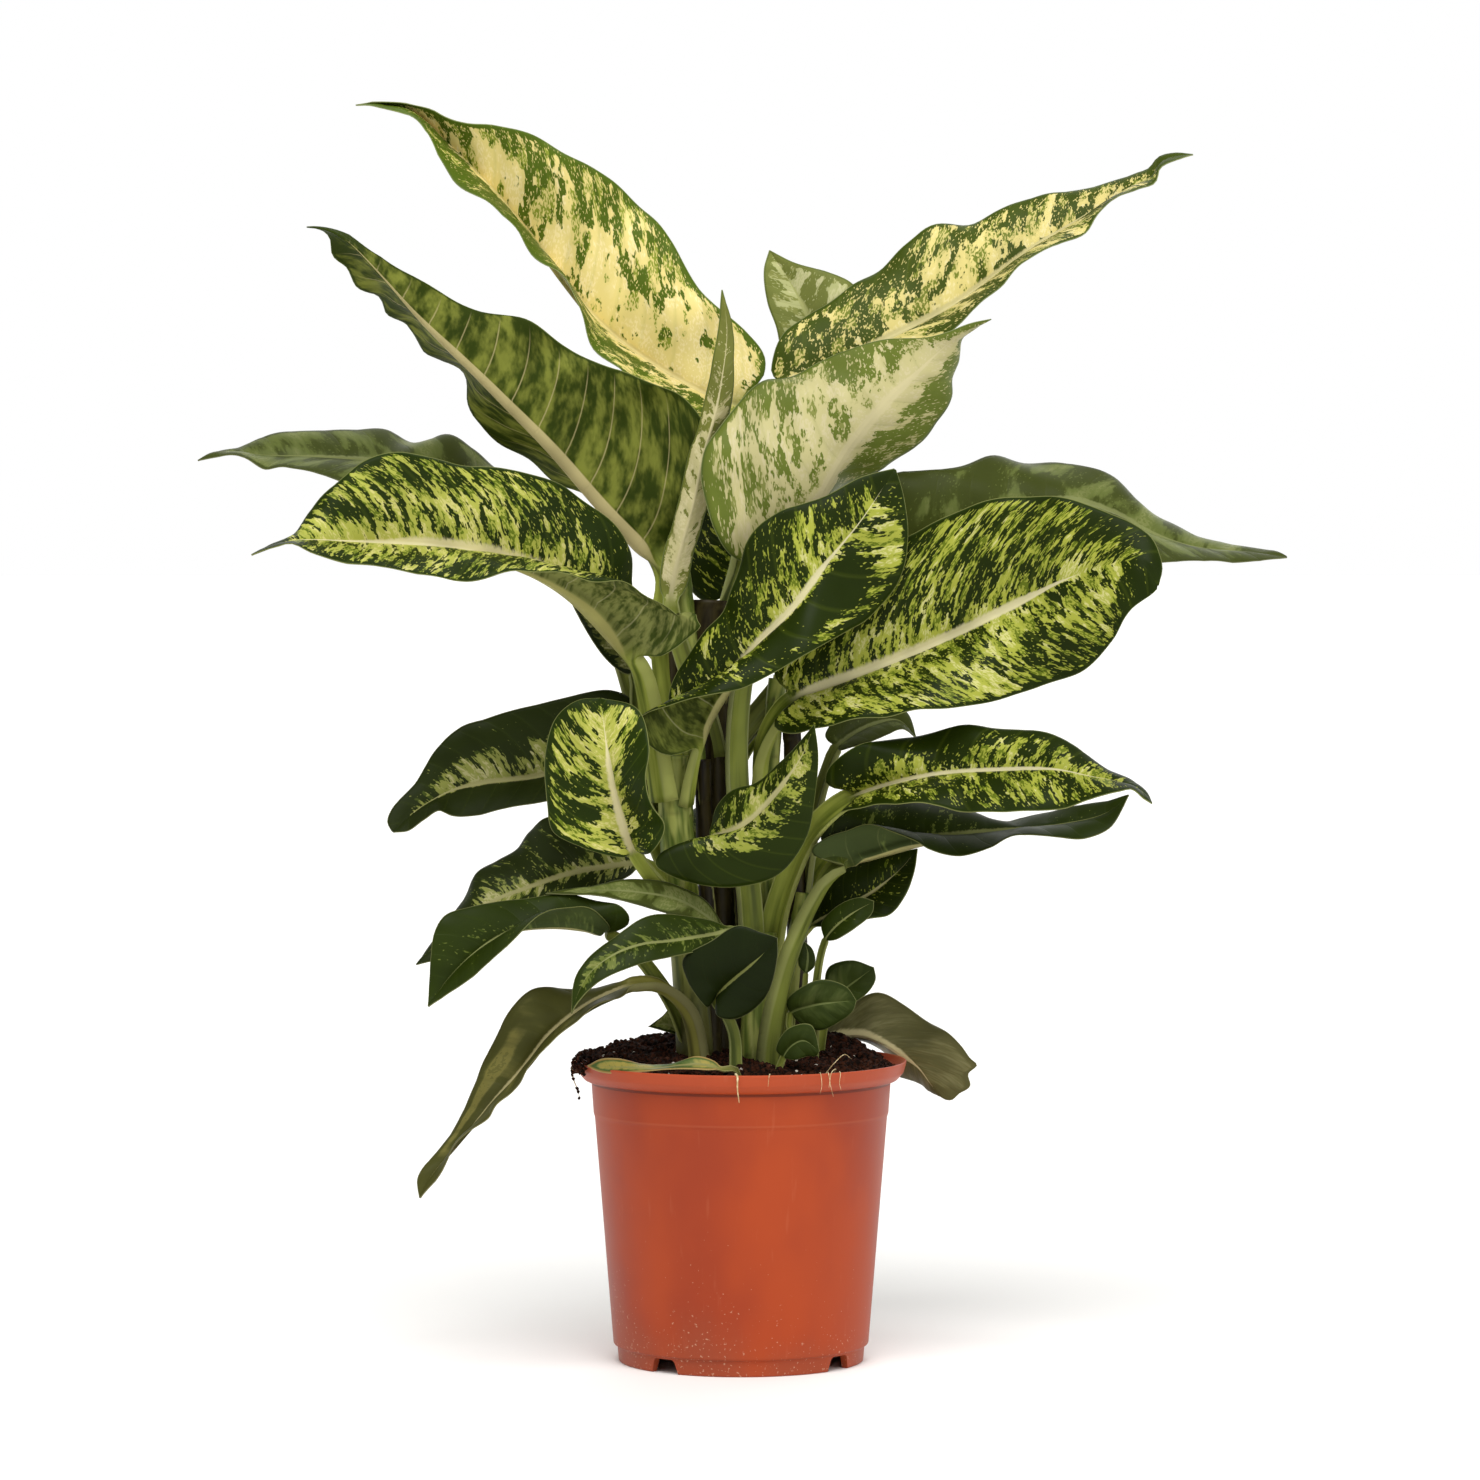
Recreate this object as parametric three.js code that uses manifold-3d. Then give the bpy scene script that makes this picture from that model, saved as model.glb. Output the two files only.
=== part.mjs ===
// A potted dieffenbachia: a nursery pot, its soil, four canes and the leaves on their stalks.
// Millimetres, +Z up. The origin is the centre of the pot's foot, on the surface that it stands on.
// The front is -Y.
import * as THREE from 'three';
import { mergeVertices } from 'three/addons/utils/BufferGeometryUtils.js';
import Module from 'manifold-3d';

const wasm = await Module();
wasm.setup();

// The pot: a thermoformed 19 cm nursery pot
const RIM_RADIUS = 95;
const POT_HEIGHT = 172;
const RIM_BAND = 10.5;
const WALL = 2;
const NECK_RADIUS = 86;
const BODY_FOOT_RADIUS = 73;
const FOOT_HEIGHT = 9;
const FOOT_RADIUS = 70;
const STEP_HEIGHT = 136;
const POT_SIDES = 40;
const NOTCH_ANGLES = [-38, 52, 142, 232];
const NOTCH_WIDTH = 17;
const DRAIN_RADIUS = 5;

// The soil
const SOIL_FLOOR = 11.3;
const SOIL_EDGE = 167;
const SOIL_RADIUS = 88.3;
const SOIL_HEAP = 4;
const SOIL_LEAN = 9;
const SOIL_RINGS = 6;
const SOIL_SIDES = 30;

// Leaves and stems
const GAP = 0.3;
const BLADE_HALF_THICKNESS = 0.35;
const ARCH = 0.07;
const STALK_FLARE = 1.2;
const HOLE_SHARE = 1.1;
const ABOVE_SOIL = 186;
const CANE_SIDES = 10;
const CANE_STEPS = 7;

// Places on the plant are given as seen from the front: x across and z up are read on the upright
// plane through the pot's axis, y is how far behind that plane the point lies, and the point itself
// is where the line of sight from the eye through (x, z) reaches that depth.
const EYE = new THREE.Vector3(0, -3200, 472);

function sight([x, y, z]) {
  const onPlane = new THREE.Vector3(x, 0, z);
  return onPlane.sub(EYE).multiplyScalar((y - EYE.y) / -EYE.y).add(EYE);
}

function curveThrough(points) {
  return new THREE.CatmullRomCurve3(points, false, 'centripetal');
}

// Closed meshes, and their joins and cuts
function toSolid(geometry) {
  const bare = geometry.clone();
  bare.deleteAttribute('normal');
  bare.deleteAttribute('uv');
  const merged = mergeVertices(bare, 1e-3);
  const vertProperties = new Float32Array(merged.attributes.position.array);
  const triVerts = new Uint32Array(merged.index.array);
  return new wasm.Manifold(new wasm.Mesh({ numProp: 3, vertProperties, triVerts }));
}

function toGeometry(solid) {
  const mesh = solid.getMesh();
  const geometry = new THREE.BufferGeometry();
  geometry.setAttribute('position', new THREE.BufferAttribute(mesh.vertProperties, 3));
  geometry.setIndex(new THREE.BufferAttribute(mesh.triVerts, 1));
  return geometry;
}

function largestBody(solid) {
  const bodies = solid.decompose();
  return bodies.reduce((best, body) => (body.volume() > best.volume() ? body : best));
}

function geometryFrom(vertices, triangles) {
  const geometry = new THREE.BufferGeometry();
  const flat = vertices.flatMap((v) => [v.x, v.y, v.z]);
  geometry.setAttribute('position', new THREE.Float32BufferAttribute(flat, 3));
  geometry.setIndex(triangles.flat());
  return geometry;
}

// A round tapering stem, with its frames carried along the path
function stemGeometry(path, radiusAt, sides, steps) {
  const curve = curveThrough(path.map(sight));
  const vertices = [];
  const triangles = [];
  for (let k = 0; k <= steps; k += 1) {
    const t = k / steps;
    const centre = curve.getPointAt(t);
    const along = curve.getTangentAt(t);
    const across = new THREE.Vector3(1, 0, 0).addScaledVector(along, -along.x).normalize();
    const up = new THREE.Vector3().crossVectors(along, across);
    for (let i = 0; i < sides; i += 1) {
      const angle = (i / sides) * Math.PI * 2;
      const radius = radiusAt(t);
      const offset = across.clone().multiplyScalar(radius * Math.cos(angle));
      vertices.push(centre.clone().add(offset).addScaledVector(up, radius * Math.sin(angle)));
    }
  }
  for (let k = 0; k < steps; k += 1) {
    for (let i = 0; i < sides; i += 1) {
      const j = (i + 1) % sides;
      const low = k * sides;
      const high = low + sides;
      triangles.push([low + i, low + j, high + j], [low + i, high + j, high + i]);
    }
  }
  const last = steps * sides;
  for (let i = 1; i < sides - 1; i += 1) {
    triangles.push([0, i + 1, i], [last, last + i, last + i + 1]);
  }
  return geometryFrom(vertices, triangles);
}

// The outline of a true half blade, from its base to its tip, as a share of its greatest width
function halfOutline(t) {
  return Math.sin(Math.PI * Math.min(Math.max(t, 0), 1) ** 0.75) ** 0.7;
}

// A margin seen nearer the midrib than the half blade is wide leans towards or away from the front
function marginCurve(leaf, margin, lean) {
  const rib = curveThrough(leaf.rib.map((p) => new THREE.Vector3(...p)));
  const base = leaf.rib[0];
  const tip = leaf.rib.at(-1);
  const seen = [[base[0], base[2]], ...margin, [tip[0], tip[2]]];
  const reach = [0];
  for (let i = 1; i < seen.length; i += 1) {
    reach.push(reach[i - 1] + Math.hypot(seen[i][0] - seen[i - 1][0], seen[i][1] - seen[i - 1][1]));
  }
  const points = seen.map(([x, z, extra = 0], i) => {
    const t = reach[i] / reach.at(-1);
    const middle = rib.getPointAt(t);
    const apart = Math.hypot(x - middle.x, z - middle.z);
    const half = leaf.half * halfOutline(t);
    const depth = lean * Math.sqrt(Math.max(half * half - apart * apart, 0));
    return sight([x, middle.y + depth + extra, z]);
  });
  points[0] = sight(base);
  points[points.length - 1] = sight(tip);
  return curveThrough(points);
}

const WIDE_COLUMNS = [-1, -0.5, -0.07, 0.07, 0.5, 1];
const SMALL_COLUMNS = [-1, -0.5, 0, 0.5, 1];

// One leaf: a channelled stalk that widens into a thin arched blade with its midrib below
function leafGeometry(leaf) {
  const columns = leaf.half > 32 ? WIDE_COLUMNS : SMALL_COLUMNS;
  const bladeRows = leaf.rows ?? (leaf.half > 32 ? 11 : 8);
  const stalkRows = leaf.stalkRows ?? 4;
  const stalk = curveThrough(leaf.stalk.map(sight));
  const rib = curveThrough(leaf.rib.map(sight));
  const left = marginCurve(leaf, leaf.left, leaf.lean[0]);
  const right = marginCurve(leaf, leaf.right, leaf.lean[1]);

  // The middle surface of the blade, row by row
  const rows = [];
  for (let k = 1; k <= bladeRows; k += 1) {
    const t = 0.985 * (k / bladeRows) ** 1.15;
    const middle = rib.getPointAt(t);
    const along = rib.getTangentAt(t);
    const sides = [left.getPointAt(t), right.getPointAt(t)].map((edge) => edge.sub(middle));
    const across = sides[1].clone().sub(sides[0]);
    const up = across.cross(along).normalize();
    for (const [n, side] of sides.entries()) {
      if (side.length() < 0.9) {
        side.crossVectors(along, up).multiplyScalar(n === 0 ? -0.9 : 0.9);
      }
    }
    const arch = (leaf.arch ?? ARCH);
    rows.push({
      t,
      points: columns.map((share) => {
        const side = sides[share < 0 ? 0 : 1];
        const out = Math.abs(share);
        const lift = arch * side.length() * 4 * out * (1 - out);
        return middle.clone().addScaledVector(side, out).addScaledVector(up, lift);
      }),
    });
  }

  // Faces' directions from the neighbouring points
  const normals = rows.map((row, k) => row.points.map((point, i) => {
    const before = rows[Math.max(k - 1, 0)].points[i];
    const after = rows[Math.min(k + 1, rows.length - 1)].points[i];
    const inner = row.points[Math.max(i - 1, 0)];
    const outer = row.points[Math.min(i + 1, columns.length - 1)];
    return outer.clone().sub(inner).cross(after.clone().sub(before)).normalize();
  }));

  const tops = [];
  const bottoms = [];
  // The stalk's rows: flat above, round below
  const first = rows[0].points;
  const baseAcross = first.at(-1).clone().sub(first[0]);
  for (let k = 0; k <= stalkRows; k += 1) {
    const t = k / stalkRows;
    const centre = stalk.getPointAt(t);
    const along = stalk.getTangentAt(t);
    const across = baseAcross.clone().addScaledVector(along, -baseAcross.dot(along)).normalize();
    const up = new THREE.Vector3().crossVectors(across, along);
    const radius = leaf.stem * THREE.MathUtils.lerp(STALK_FLARE, 1, t);
    tops.push(columns.map((share) => centre.clone()
      .addScaledVector(across, radius * share * 0.95)
      .addScaledVector(up, radius * 0.35)));
    bottoms.push(columns.map((share) => centre.clone()
      .addScaledVector(across, radius * share)
      .addScaledVector(up, -radius * (0.15 + 0.75 * Math.sqrt(1 - share * share)))));
  }
  rows.forEach((row, k) => {
    const ribDepth = leaf.stem * 1.1 * (1 - row.t) ** 1.3;
    tops.push(row.points.map((point, i) => (
      point.clone().addScaledVector(normals[k][i], BLADE_HALF_THICKNESS))));
    bottoms.push(row.points.map((point, i) => {
      const inRib = Math.abs(columns[i]) < 0.1 ? ribDepth : 0;
      return point.clone().addScaledVector(normals[k][i], -BLADE_HALF_THICKNESS - inRib);
    }));
  });

  const width = columns.length;
  const count = tops.length;
  const vertices = [...tops.flat(), ...bottoms.flat()];
  const top = (k, i) => k * width + i;
  const bottom = (k, i) => (count + k) * width + i;
  const triangles = [];
  const strip = (a, b, c, d) => triangles.push([a, b, c], [a, c, d]);
  for (let k = 0; k < count - 1; k += 1) {
    for (let i = 0; i < width - 1; i += 1) {
      strip(top(k, i), top(k, i + 1), top(k + 1, i + 1), top(k + 1, i));
      triangles.push([bottom(k, i), bottom(k + 1, i + 1), bottom(k, i + 1)]);
      triangles.push([bottom(k, i), bottom(k + 1, i), bottom(k + 1, i + 1)]);
    }
    strip(bottom(k, 0), top(k, 0), top(k + 1, 0), bottom(k + 1, 0));
    strip(top(k, width - 1), bottom(k, width - 1), bottom(k + 1, width - 1), top(k + 1, width - 1));
  }
  for (let i = 0; i < width - 1; i += 1) {
    strip(top(0, i), bottom(0, i), bottom(0, i + 1), top(0, i + 1));
    const k = count - 1;
    strip(top(k, i), top(k, i + 1), bottom(k, i + 1), bottom(k, i));
  }
  return geometryFrom(vertices, triangles);
}

// Canes, as [x, y, z] read from the front, with the radius at the soil and at the top
const CANES = {
  cane_left: {
    path: [[-25, -4, 140], [-27, -4, 190], [-30, -4, 230], [-35, -4, 280], [-38, -4, 330],
      [-38, -4, 346]],
    radius: [11, 10],
  },
  cane_back: {
    path: [[-12, 16, 140], [-11, 16, 200], [-11, 16, 260], [-12, 17, 320], [-13, 18, 362],
      [-8, 22, 400], [6, 34, 452]],
    radius: [8.5, 6],
  },
  cane_centre: {
    path: [[9, -2, 140], [10, -2, 180], [11, -1, 215], [11, 0, 245]],
    radius: [12, 10],
  },
  cane_right: {
    path: [[27, 16, 140], [28, 16, 190], [31, 16, 235], [35, 16, 268]],
    radius: [6.5, 5.5],
  },
};

// Leaves. stalk and rib are [x, y, z] from the front, left and right are the margins as [x, z] with
// an extra depth where a lobe is turned, left and right as on the upper face with the tip up.
// half is the true greatest half width, lean is where the two halves lean (-1 to the front).
const LEAVES = {
  leaf_crown_left: {
    stalk: [[-8, 24, 402], [-9, 33, 420], [-4, 42, 441], [1, 46, 465], [1, 52, 505], [5, 60, 540]],
    rib: [[5, 60, 540], [-20, 66, 552], [-40, 72, 563], [-60, 78, 576], [-80, 84, 592], [-99, 90, 614],
      [-120, 95, 642], [-140, 99, 667], [-170, 104, 696], [-189, 106, 712], [-218, 108, 715]],
    left: [[-12, 528], [-45, 545], [-74, 568], [-90, 592], [-102, 610], [-127, 643], [-142, 655],
      [-161, 672], [-181, 697]],
    right: [[14, 572], [3, 587], [-22, 610], [-40, 639], [-49, 651], [-62, 664], [-85, 681],
      [-101, 689], [-120, 700], [-140, 705], [-159, 707], [-180, 714]],
    half: 60, lean: [-0.9, -0.5], stem: 4.2,
  },
  leaf_upper_left: {
    stalk: [[-34, 4, 322], [-37, 17, 350], [-43, 21, 385], [-46, 23, 420], [-44, 24, 450]],
    rib: [[-44, 24, 450], [-57, 23, 465], [-80, 20, 489], [-108, 14, 521], [-140, 3, 553],
      [-180, -12, 592], [-205, -24, 620], [-228, -32, 641], [-246, -36, 646]],
    left: [[-36, 462], [-27, 490], [-22, 515], [-21, 534], [-28, 544], [-44, 557], [-80, 569],
      [-100, 579], [-120, 594], [-151, 600], [-180, 615], [-198, 622], [-220, 640]],
    right: [[-62, 466], [-80, 486], [-100, 501], [-123, 515], [-142, 526], [-150, 538], [-159, 563],
      [-180, 579], [-191, 592], [-204, 598], [-220, 615], [-232, 634]],
    half: 60, lean: [0.4, 0.9], stem: 4.6,
  },
  leaf_crown_right: {
    stalk: [[6, 32, 432], [16, 34, 451], [20, 42, 476], [23, 54, 512], [25, 66, 548]],
    rib: [[25, 66, 548], [50, 73, 564], [75, 80, 579], [120, 92, 602], [165, 103, 634], [205, 111, 659],
      [232, 114, 676], [256, 114, 687]],
    left: [[17, 560], [25, 588], [49, 603], [74, 620], [94, 637], [106, 646], [128, 649], [156, 660],
      [185, 667], [212, 674], [236, 686]],
    right: [[42, 546], [80, 562], [120, 587], [135, 602], [149, 616], [170, 632], [195, 644],
      [205, 655], [213, 660], [233, 671]],
    half: 56, lean: [0.4, -0.6], stem: 4.2,
  },
  leaf_crown_small: {
    stalk: [[6, 39, 449], [10, 50, 468], [20, 63, 492], [38, 80, 525], [52, 90, 548]],
    rib: [[52, 90, 548], [47, 96, 570], [40, 101, 592], [30, 105, 612], [16, 108, 634]],
    left: [[36, 552], [24, 572], [20, 590], [15, 604], [13, 622]],
    right: [[68, 562], [76, 586], [66, 612], [50, 621], [30, 627]],
    half: 30, lean: [-0.3, -0.3], stem: 3,
  },
  leaf_rolled: {
    stalk: [[-14, 10, 345], [-20, 4, 370], [-32, 0, 400], [-40, -2, 430]],
    rib: [[-40, -2, 430], [-39, -3, 445], [-34, -4, 465], [-27, -5, 490], [-22, -5, 515],
      [-15, -4, 540], [-11, -3, 560], [-8, -2, 585], [-9, -1, 600], [-11, 0, 612]],
    left: [[-46, 440], [-43, 465], [-36, 490], [-30, 515], [-23, 540], [-18, 560], [-13, 590]],
    right: [[-32, 440], [-26, 465], [-19, 490], [-13, 515], [-7, 540], [-4, 560], [-5, 590]],
    half: 17, lean: [0.8, 0.8], stem: 5, arch: 0,
  },
  leaf_crown_front: {
    stalk: [[7, -2, 225], [5, -3, 262], [1, -4, 300], [-2, -5, 330], [-2, -5, 362], [2, -6, 395],
      [13, -7, 432], [28, -8, 468]],
    rib: [[28, -8, 468], [43, -5, 490], [62, 0, 522], [84, 8, 549], [102, 16, 565], [120, 24, 582],
      [142, 30, 588]],
    left: [[10, 455, -2], [-5, 460, -6], [-15, 475, -12], [-20, 490, -16], [-23, 506, -18],
      [-21, 520, -16], [-14, 531, -12], [-3, 544, -8], [13, 559, -4], [31, 565], [58, 576], [77, 582],
      [110, 583]],
    right: [[40, 474], [54, 496], [67, 505], [83, 510], [94, 517], [110, 537], [117, 550], [121, 560],
      [124, 570], [130, 579]],
    half: 60, lean: [-0.3, 0.6], stem: 4.6, stalkRows: 7,
  },
  leaf_centre: {
    stalk: [[-33, -8, 320], [-30, -16, 336], [-27, -21, 348]],
    rib: [[-27, -20, 348], [-22, -24, 362], [-8, -31, 385], [12, -37, 411], [30, -41, 430],
      [48, -41, 455], [69, -38, 481], [88, -33, 510]],
    left: [[-34, 360], [-41, 378], [-37, 393], [-28, 407], [-20, 418], [-10, 428], [-4, 444], [2, 466],
      [10, 477], [22, 485], [34, 489], [49, 495], [69, 505]],
    right: [[-34, 346, -8], [-45, 347, -14], [-57, 355, -18], [-65, 362, -20], [-54, 369, -20],
      [-38, 375, -16], [-18, 380, -10], [0, 385, -6], [20, 394], [41, 406], [60, 417], [73, 424],
      [89, 444], [95, 470], [92, 497]],
    half: 42, lean: [0.3, -0.6], stem: 4.4, rows: 13,
  },
  leaf_broad_right: {
    stalk: [[10, 6, 228], [11, 14, 258], [10, 12, 300], [9, 5, 335], [11, 0, 350], [17, -5, 364],
      [26, -10, 375]],
    rib: [[26, -10, 374], [41, -12.5, 383], [61, -16, 390], [90, -24, 401], [120, -34, 414],
      [152, -47.5, 430], [186, -64, 447], [210, -76, 455], [228, -85, 456], [238, -87.5, 442]],
    left: [[18, 388], [28, 412], [52, 440], [78, 462], [99, 474], [121, 484], [140, 491], [160, 494],
      [180, 494], [210, 484], [234, 471], [240, 455]],
    right: [[17, 366], [22, 360], [43, 361], [61, 365], [91, 371], [121, 373], [152, 379], [170, 386],
      [196, 395], [212, 412], [223, 430], [234, 438]],
    half: 60, lean: [0.4, -0.8], stem: 5.6, rows: 13,
  },
  leaf_back_right: {
    stalk: [[-11, 18, 345], [10, 25, 370], [44, 30, 412], [74, 32, 447], [92, 34, 464]],
    rib: [[92, 34, 464], [130, 38, 477], [160, 42, 487], [188, 46, 492], [212, 50, 485], [234, 53, 473],
      [259, 56, 465], [290, 58, 462], [312, 60, 459]],
    left: [[80, 478], [79, 498], [90, 508], [121, 510], [140, 515], [156, 515], [180, 513], [204, 508],
      [219, 498], [236, 484], [259, 471], [279, 466], [304, 463]],
    right: [[112, 450], [150, 452], [190, 458], [225, 460], [239, 456], [259, 457], [294, 457]],
    half: 44, lean: [0.9, -0.8], stem: 4.4,
  },
  leaf_back_left: {
    stalk: [[-43, 4.5, 315], [-52, 17, 339], [-60, 26, 375], [-72, 35, 412], [-90, 42, 440],
      [-110, 47, 468], [-124, 50, 484]],
    rib: [[-124, 50, 484], [-145, 50, 497], [-170, 52, 507], [-200, 55, 513], [-240, 60, 516],
      [-270, 64, 517], [-300, 68, 519], [-310, 68, 514]],
    left: [[-138, 474], [-170, 482], [-200, 494], [-230, 504], [-259, 510], [-271, 509], [-284, 517]],
    right: [[-120, 500], [-142, 511], [-152, 520], [-166, 528], [-187, 526], [-202, 531], [-232, 531],
      [-254, 532], [-272, 527], [-284, 522]],
    half: 36, lean: [-0.9, 0.9], stem: 4,
  },
  leaf_broad_left: {
    stalk: [[-42, -8, 322], [-47, -13, 352], [-51, -16, 380], [-57, -21, 400]],
    rib: [[-57, -21, 400], [-72, -27.5, 417], [-92, -38, 436], [-115, -51, 450], [-145, -69, 460],
      [-180, -92.5, 466], [-221, -116, 468], [-255, -134, 468], [-279, -144.5, 461]],
    left: [[-43, 404, -12], [-31, 413, -20], [-22, 421, -22], [-34, 427, -14], [-57, 438, -6],
      [-80, 447], [-100, 450], [-120, 450], [-139, 449], [-157, 447], [-169, 447], [-200, 452],
      [-225, 458], [-250, 461]],
    right: [[-58, 425], [-62, 445], [-64, 464], [-80, 485], [-100, 499], [-120, 506], [-139, 510],
      [-170, 514], [-195, 519], [-208, 517], [-220, 511], [-233, 498], [-249, 481], [-258, 472]],
    half: 56, lean: [-0.9, 0.8], stem: 7, rows: 13,
  },
  leaf_dark_left: {
    stalk: [[-45, -0.5, 323], [-55, 1.5, 346], [-60, 4, 376], [-61, 5, 392]],
    rib: [[-60, 5, 392], [-72, 9, 408], [-85, 14, 424], [-100, 18, 440]],
    left: [[-67, 393], [-76, 400], [-84, 410], [-94, 428]],
    right: [[-57, 404], [-63, 420], [-78, 436]],
    half: 15, lean: [-0.5, 0.5], stem: 3.2,
  },
  leaf_low_left: {
    stalk: [[-36, 0, 270], [-46, 4, 293], [-58, 10, 322], [-65, 13, 341], [-70, 14, 348]],
    rib: [[-70, 14, 348], [-92, 13, 341], [-117, 10, 334], [-149, 6, 330], [-165, 2, 326],
      [-177, -3, 320], [-190, -9, 311], [-200, -14, 300]],
    left: [[-82, 334], [-98, 326], [-113, 320], [-140, 314], [-160, 312], [-178, 308], [-192, 303]],
    right: [[-62, 362], [-62, 378], [-74, 384], [-100, 379], [-120, 374], [-144, 368], [-160, 363],
      [-174, 349], [-187, 329], [-199, 314]],
    half: 44, lean: [-0.5, 0.4], stem: 4.2,
  },
  leaf_side_left: {
    stalk: [[-31, -8, 240], [-37, -18, 256], [-44, -26, 268], [-53, -34, 279], [-60, -40, 289]],
    rib: [[-60, -40, 289], [-66, -48, 303], [-71, -55, 322], [-75, -60, 341], [-78, -61, 362],
      [-80, -58, 379]],
    left: [[-70, 288], [-89, 293], [-107, 303], [-111, 318], [-112, 345], [-106, 367], [-94, 377]],
    right: [[-50, 292], [-44, 304], [-51, 318], [-54, 333], [-52, 351], [-60, 374]],
    half: 36, lean: [-0.4, -0.8], stem: 3.4,
  },
  leaf_heart: {
    stalk: [[-30, -8, 262], [-30, -22, 278], [-26, -32, 290], [-20, -38, 297]],
    rib: [[-20, -38, 297], [-8, -43, 301], [4, -47, 307], [14, -50, 317], [25, -53, 331],
      [36, -55, 348], [42, -56, 364]],
    left: [[-17, 306], [-14, 316], [-4, 326], [8, 331], [22, 342], [34, 354]],
    right: [[-32, 294, -2], [-45, 290, -6], [-49, 284, -8], [-40, 277, -6], [-26, 272], [-3, 271],
      [21, 278], [36, 297], [42, 321], [44, 348]],
    half: 34, lean: [0.5, -0.7], stem: 3.2,
  },
  leaf_middle_right: {
    stalk: [[15, -1, 225], [20, -2, 256], [28, -5, 280], [38, -12, 300], [48, -21, 312],
      [60, -28, 321]],
    rib: [[60, -28, 321], [79, -37.5, 328], [110, -53.5, 335], [150, -74.5, 338], [180, -90.5, 338],
      [205, -103, 333], [225, -113, 328], [235, -117.5, 319]],
    left: [[50, 326], [49, 337], [69, 353], [100, 357], [130, 363], [160, 362], [184, 356], [198, 346],
      [220, 335]],
    right: [[56, 314], [68, 317], [90, 318], [113, 318], [128, 314], [160, 314], [198, 319],
      [222, 322]],
    half: 38, lean: [0.8, -0.9], stem: 4.8,
  },
  leaf_twisted_right: {
    stalk: [[15, -20, 140], [15, -20, 176], [18, -20, 200], [24, -20, 224], [32, -18, 247],
      [40, -17, 264], [48, -16, 277], [56, -15, 284]],
    rib: [[56, -15, 284], [80, -12, 291], [100, -10, 297], [128, -8, 301], [156, -8, 304],
      [184, -8, 307], [205, -8, 312], [218, -8, 318]],
    left: [[47, 294], [46, 306], [59, 317], [85, 320], [109, 319], [129, 314], [144, 308], [163, 311],
      [192, 317], [211, 321]],
    right: [[46, 286, -4], [40, 292, -8], [50, 300, -8], [60, 304, -4], [74, 306], [98, 297],
      [115, 291], [129, 291], [149, 296], [160, 300], [192, 300], [211, 305]],
    half: 36, lean: [0.9, -0.9], stem: 5.2, stalkRows: 6,
  },
  leaf_shaded_right: {
    stalk: [[34, 17, 255], [38, 20, 288], [43, 23, 318], [49, 25, 338], [54, 26, 350]],
    rib: [[54, 26, 350], [64, 30, 358], [76, 35, 364], [90, 40, 366], [100, 44, 356]],
    left: [[48, 358], [60, 372], [80, 378], [95, 371]],
    right: [[58, 349], [70, 353], [83, 358], [92, 361]],
    half: 20, lean: [0.8, -0.8], stem: 4,
  },
  leaf_small_right: {
    stalk: [[30, 15, 228], [33, 15, 240], [39, 14, 248]],
    rib: [[39, 14, 248], [51, 12, 255], [65, 10, 262], [78, 8, 270], [93, 4, 283], [101, 2, 293]],
    left: [[42, 260], [47, 272], [56, 281], [72, 287], [91, 291]],
    right: [[54, 249], [72, 253], [85, 255], [94, 266], [99, 279]],
    half: 24, lean: [0.6, -0.7], stem: 2.6,
  },
  leaf_curled_right: {
    stalk: [[42, -6, 140], [42, -6, 182], [43, -8, 216], [48, -12, 240]],
    rib: [[48, -12, 240], [54, -15, 248], [64, -18, 256], [76, -20, 263]],
    left: [[46, 250], [55, 260], [68, 265]],
    right: [[55, 241], [66, 248], [75, 256]],
    half: 11, lean: [0.6, -0.7], stem: 2.2,
  },
  leaf_round_back: {
    stalk: [[46, 14, 140], [46, 14, 182], [52, 11, 205]],
    rib: [[52, 11, 205], [60, 9, 213], [68, 7, 219], [76, 6, 225]],
    left: [[48, 214], [50, 225], [63, 229]],
    right: [[62, 204], [72, 210], [77, 218]],
    half: 14, lean: [-0.3, -0.3], stem: 2.2,
  },
  leaf_round_front: {
    stalk: [[29, -11, 140], [29, -11, 180], [28, -12, 198]],
    rib: [[28, -12, 198], [40, -17, 203], [54, -20, 205], [66, -21, 206]],
    left: [[26, 206], [35, 214], [46, 218], [60, 214]],
    right: [[36, 192], [46, 189], [57, 194], [64, 200]],
    half: 14, lean: [-0.4, 0.4], stem: 2.2,
  },
  leaf_tiny_right: {
    stalk: [[35, 0, 140], [35, 0, 180], [37, 0, 221]],
    rib: [[37, 0, 221], [38, -1, 228], [38, -1, 234], [36, 0, 240]],
    left: [[33, 226], [33, 235]],
    right: [[42, 226], [41, 235]],
    half: 5, lean: [0.5, 0.5], stem: 1.6, rows: 6,
  },
  leaf_drooping_right: {
    stalk: [[38, 34, 140], [38, 34, 174], [42, 36, 184], [50, 38, 189]],
    rib: [[50, 38, 186], [66, 41, 188], [83, 44, 184], [95, 46, 176], [103, 47, 166], [110, 48, 157],
      [118, 49, 149]],
    left: [[52, 192], [62, 201], [78, 209], [94, 203], [108, 195], [123, 183], [133, 173], [134, 165],
      [128, 155]],
    right: [[58, 184], [70, 184], [84, 181], [93, 173], [100, 164], [108, 154]],
    half: 32, lean: [0.6, 0.9], stem: 3.2,
  },
  leaf_drooping_left: {
    stalk: [[-24, -22, 140], [-24, -22, 178], [-29, -24, 200], [-37, -27, 210], [-48, -31, 216],
      [-60, -36, 216]],
    rib: [[-60, -36, 216], [-74, -42, 211], [-90, -48, 202], [-110, -57, 186], [-123, -63, 169],
      [-137, -68, 153], [-151, -72, 137], [-165, -76, 120], [-178, -79, 104], [-184, -80, 92]],
    left: [[-68, 208], [-80, 204], [-100, 190], [-120, 169], [-126, 158], [-140, 147], [-145, 138],
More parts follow.
